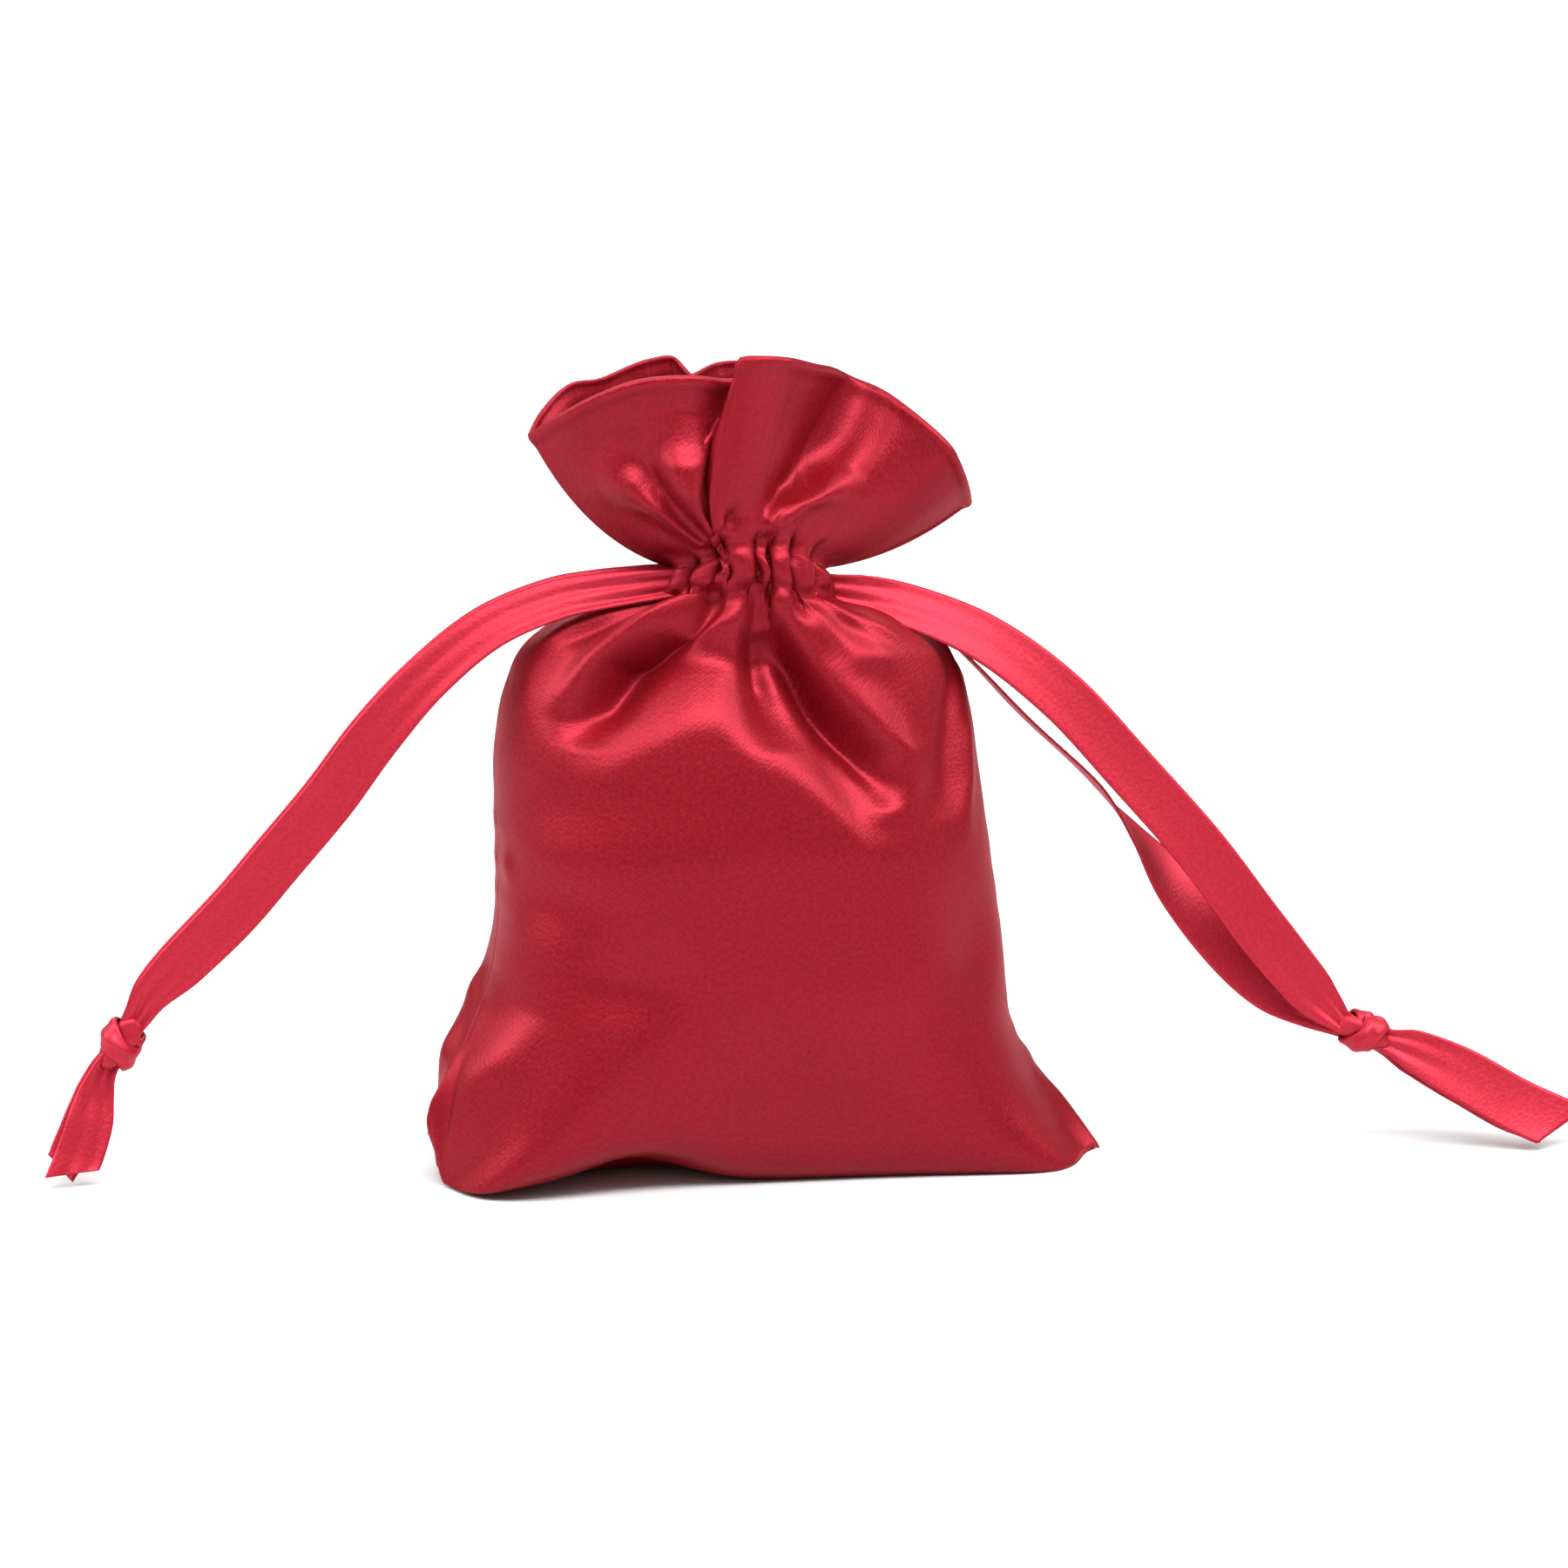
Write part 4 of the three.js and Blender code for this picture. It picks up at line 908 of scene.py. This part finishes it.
def floor_material():
    """A pale floor with a faint grain, and painted light: grey near the bag and painted lighter away
    from it, where the lamps' light falls off.
    """
    material = bpy.data.materials.new("pale floor")
    material.use_nodes = True
    tree = material.node_tree
    link = tree.links.new
    surface = tree.nodes["Principled BSDF"]
    place = node(tree, "ShaderNodeTexCoord")
    grain = node(tree, "ShaderNodeTexNoise", Scale=FLOOR_GRAIN_SCALE, Detail=2.0)
    away = node(tree, "ShaderNodeVectorMath", operation="LENGTH")
    # Painted light and shade: the floor's colour is grey near the bag and brightens with distance from
    # it
    far = node(tree, "ShaderNodeMapRange", From_Min=FLOOR_NEAR, From_Max=FLOOR_FAR)
    both = node(tree, "ShaderNodeMath", operation="MULTIPLY_ADD")
    both.inputs[1].default_value = FLOOR_GRAIN
    ramp = ramp_node(tree, FLOOR_PAINTED_LIGHT_STOPS)
    link(place.outputs["Object"], grain.inputs["Vector"])
    link(place.outputs["Object"], away.inputs[0])
    link(away.outputs["Value"], far.inputs["Value"])
    link(grain.outputs["Fac"], both.inputs[0])
    link(far.outputs["Result"], both.inputs[2])
    link(both.outputs[0], ramp.inputs["Fac"])
    link(ramp.outputs["Color"], surface.inputs["Base Color"])
    surface.inputs["Roughness"].default_value = FLOOR_ROUGHNESS
    return material


def smooth_path(places, steps):
    """A centripetal curve through places, and each new point's key along the table, from 0 to 1."""
    ends = np.concatenate([[2 * places[0] - places[1]], places, [2 * places[-1] - places[-2]]])
    points = []
    keys = np.linspace(0, 1, steps + 1)
    count = len(places) - 1
    for key in keys:
        i = min(int(key * count), count - 1)
        q = key * count - i
        four = ends[i:i + 4]
        gaps = np.linalg.norm(np.diff(four, axis=0), axis=1) ** 0.5
        t = np.concatenate([[0], np.cumsum(gaps)])
        v = t[1] + q * (t[2] - t[1])
        a = [four[k] + (four[k + 1] - four[k]) * (v - t[k]) / (t[k + 1] - t[k]) for k in range(3)]
        b = [a[k] + (a[k + 1] - a[k]) * (v - t[k]) / (t[k + 2] - t[k]) for k in range(2)]
        points.append(b[0] + (b[1] - b[0]) * (v - t[1]) / (t[2] - t[1]))
    return np.array(points), keys


def ribbon_grids(rows, steps, curl, slant=0):
    """Both faces of a ribbon through a table's rows, its cloth coordinates and its centre line."""
    line, keys = smooth_path(rows[:, :3], steps)
    row_keys = np.linspace(0, 1, len(rows))
    face, wide = [column(row_keys, values)(keys) for values in rows.T[3:5]]
    face = np.radians(face)
    along = unit(np.gradient(line, axis=0))
    facing = np.stack([0 * face, -np.cos(face), np.sin(face)], axis=-1)
    facing = unit(facing - along * (facing * along).sum(1, keepdims=True))
    across = np.cross(along, facing)
    u, key = np.meshgrid(np.linspace(-1, 1, RIBBON_COLUMNS), keys)
    wide = wide[:, None]
    length = np.concatenate([[0], np.linalg.norm(np.diff(line, axis=0), axis=1).cumsum()])[:, None]
    drift = CREASE_DRIFT * np.sin(length / DRIFT_LENGTH)
    creases = np.cos(2 * np.pi * (CREASES * u + CREASE_SHIFT) + drift)
    rise = np.clip(1 - wide, 0, 1) * CREASE_HEIGHT * creases + curl * (u**2 - CURL_LEVEL)
    rise = rise + WOBBLE * np.sin(length / WOBBLE_LENGTH) * u
    middle = push(line[:, None], across[:, None], RIBBON_WIDTH * wide / 2 * u)
    middle = push(middle, along[:, None], slant * u * key**CUT_POWER)
    middle = push(middle, facing[:, None], rise)
    normal = unit(np.cross(np.gradient(middle, axis=1), np.gradient(middle, axis=0)))
    half = RIBBON_THICK / 2 * np.where(np.abs(u) > SELVEDGE, SELVEDGE_THIN, 1)
    uv = np.stack([u * RIBBON_WIDTH / 2, length + 0 * u], axis=-1)
    return push(middle, normal, -half), push(middle, normal, half), uv, line


def knot_grids(place, axis, length, girth):
    """An overhand knot: a bunched core, and a band of ribbon that winds round it."""
    side = unit(np.cross(axis, (0, 1, 0)))
    up = np.cross(side, axis)

    def round_axis(shift, out, angle):
        """Points at a shift along the axis, and some way out from it at an angle."""
        on_side = push(push(place, axis, shift), side, out * np.cos(angle))
        return push(on_side, up, out * np.sin(angle))

    turn, at = np.meshgrid(np.linspace(0, 2 * np.pi, CORE_COLUMNS), np.linspace(0, np.pi, CORE_ROWS))
    bunched = girth * np.sin(at) ** 0.6 * (1 + LOBE * np.cos(3 * turn + 2 * at))
    core = round_axis(-np.cos(at) * length / 2, bunched, turn)
    core_faces = quads(np.arange(turn.size).reshape(turn.shape))
    core_uv = np.stack([turn * girth, at * length / 3], axis=-1)
    u, key = np.meshgrid(np.linspace(-1, 1, WRAP_COLUMNS), np.linspace(0, 1, WRAP_ROWS))
    angle = 2 * np.pi * KNOT_TURNS * key + KNOT_START
    ends = span(0, KNOT_TUCK, 1, KNOT_TUCK, key)
    band = KNOT_BAND / 2 * (0.5 + 0.5 * ends) * (1 + LOBE * np.sin(2.3 * angle))
    shift = (key - 0.5) * length * KNOT_PITCH + 0.5 * np.cos(angle + 0.6) + u * band
    out = girth * (0.55 + 0.6 * ends) + KNOT_BULGE * (1 - u * u) * ends
    out = out + LOBE * np.sin(5 * u + 2 * angle)
    wrap, wrap_faces, wrap_uv = shell(
        round_axis(shift, out + RIBBON_THICK, angle),
        round_axis(shift, out - KNOT_SINK, angle),
        np.stack([u * 2, key * 20], axis=-1),
    )
    return (
        np.concatenate([core.reshape(-1, 3), wrap]),
        np.concatenate([core_faces, wrap_faces + turn.size]),
        np.concatenate([core_uv.reshape(-1, 2), wrap_uv]),
    )


def area_light(name, place, target, size, power):
    """A softbox that faces a target."""
    lamp = bpy.data.lights.new(name, "AREA")
    lamp.shape, lamp.size, lamp.size_y = "RECTANGLE", size[0], size[1]
    lamp.energy = power
    obj = bpy.data.objects.new(name, lamp)
    obj.location = place
    obj.rotation_euler = (Vector(target) - Vector(place)).to_track_quat("-Z", "Y").to_euler()
    bpy.context.scene.collection.objects.link(obj)


def dome_light():
    """A soft dome, dim along the horizon and bright overhead."""
    world = bpy.data.worlds.new("studio")
    world.use_nodes = True
    tree = world.node_tree
    link = tree.links.new
    sky = tree.nodes["Background"]
    way = node(tree, "ShaderNodeTexCoord")
    parts = node(tree, "ShaderNodeSeparateXYZ")
    ramp = ramp_node(tree, DOME_STOPS)
    link(way.outputs["Generated"], parts.inputs["Vector"])
    link(parts.outputs["Z"], ramp.inputs["Fac"])
    link(ramp.outputs["Color"], sky.inputs["Color"])
    sky.inputs["Strength"].default_value = DOME_STRENGTH
    return world


# Camera
a, e = math.radians(AZIMUTH), math.radians(ELEVATION)
back = Vector((math.sin(a) * math.cos(e), -math.cos(a) * math.cos(e), math.sin(e)))
lens = bpy.data.cameras.new("camera")
lens.lens, lens.sensor_width, lens.sensor_fit = LENS, SENSOR, "HORIZONTAL"
lens.clip_start, lens.clip_end = CLIP_NEAR, CLIP_FAR
camera = bpy.data.objects.new("camera", lens)
camera.location = Vector(AIM) * MM + back * (DISTANCE * MM)
camera.rotation_euler = (-back).to_track_quat("-Z", "Y").to_euler()
bpy.context.scene.collection.objects.link(camera)
bpy.context.scene.camera = camera

# Finishes
satin = satin_material("satin", *FINISHES["satin"])
ribbon = satin_material("ribbon", *FINISHES["ribbon"])

# Panels, which lie on the floor and not below it
for panel in ("front", "back"):
    points, faces, uv = shell(*panel_grids(panel))
    points[:, 2] = np.maximum(points[:, 2], 0)
    piece(f"{panel}_panel_satin", points, faces, uv, satin,
                          [f"{panel}_panel"], flip=panel == "back")

# Ribbons: the left ribbon's back strand takes its front strand's route, some way apart
strands, lines = {}, {}
left_front, apart = STRANDS["left"][:, :5], STRANDS["left"][:, 5]
left_back = left_front.copy()
left_back[:, 1] += apart
for name, rows, side in (
    ("left_front", left_front, "left"),
    ("left_back", left_back, "left"),
    ("right_front", STRANDS["right_front"], "right"),
    ("right_back", STRANDS["right_back"], "right"),
):
    top, under, uv, lines[name] = ribbon_grids(rows, STRAND_STEPS, STRAND_CURL)
    points, faces, uv = shell(top, under, uv)
    strands[name] = piece(f"strand_{name}", points, faces, uv, ribbon, [f"drawstring_{side}"])

for name, rows in TAILS.items():
    top, under, uv, _ = ribbon_grids(rows, TAIL_STEPS, TAIL_CURL, SLANTS[name])
    points, faces, uv = shell(top, under, uv)
    points[:, 2] = np.maximum(points[:, 2], FLOOR_CLEAR)
    piece(f"ribbon_tail_{name}", points, faces, uv, ribbon, [f"tail_{name}"])

for name, (place, way, length, girth) in KNOTS.items():
    points, faces, uv = knot_grids(np.array(place), unit(np.array(way)), length, girth)
    piece(f"ribbon_knot_{name}", points, faces, uv, ribbon, [f"knot_{name}"])

# Floor and light
bpy.ops.mesh.primitive_plane_add(size=FLOOR_SIZE, location=(0, 0, 0))
floor = bpy.context.object
floor.name = "floor"
floor.data.materials.append(floor_material())
for name, (place, target, size, power) in LIGHTS.items():
    area_light(name, place, target, size, power)
bpy.context.scene.world = dome_light()
bpy.context.scene.view_settings.view_transform = "Standard"

# Each strand's line in metres, its side and its length
for name, obj in strands.items():
    line = lines[name] * MM
    side = name.split("_")[0]
    length = float(np.linalg.norm(np.diff(line, axis=0), axis=1).sum())
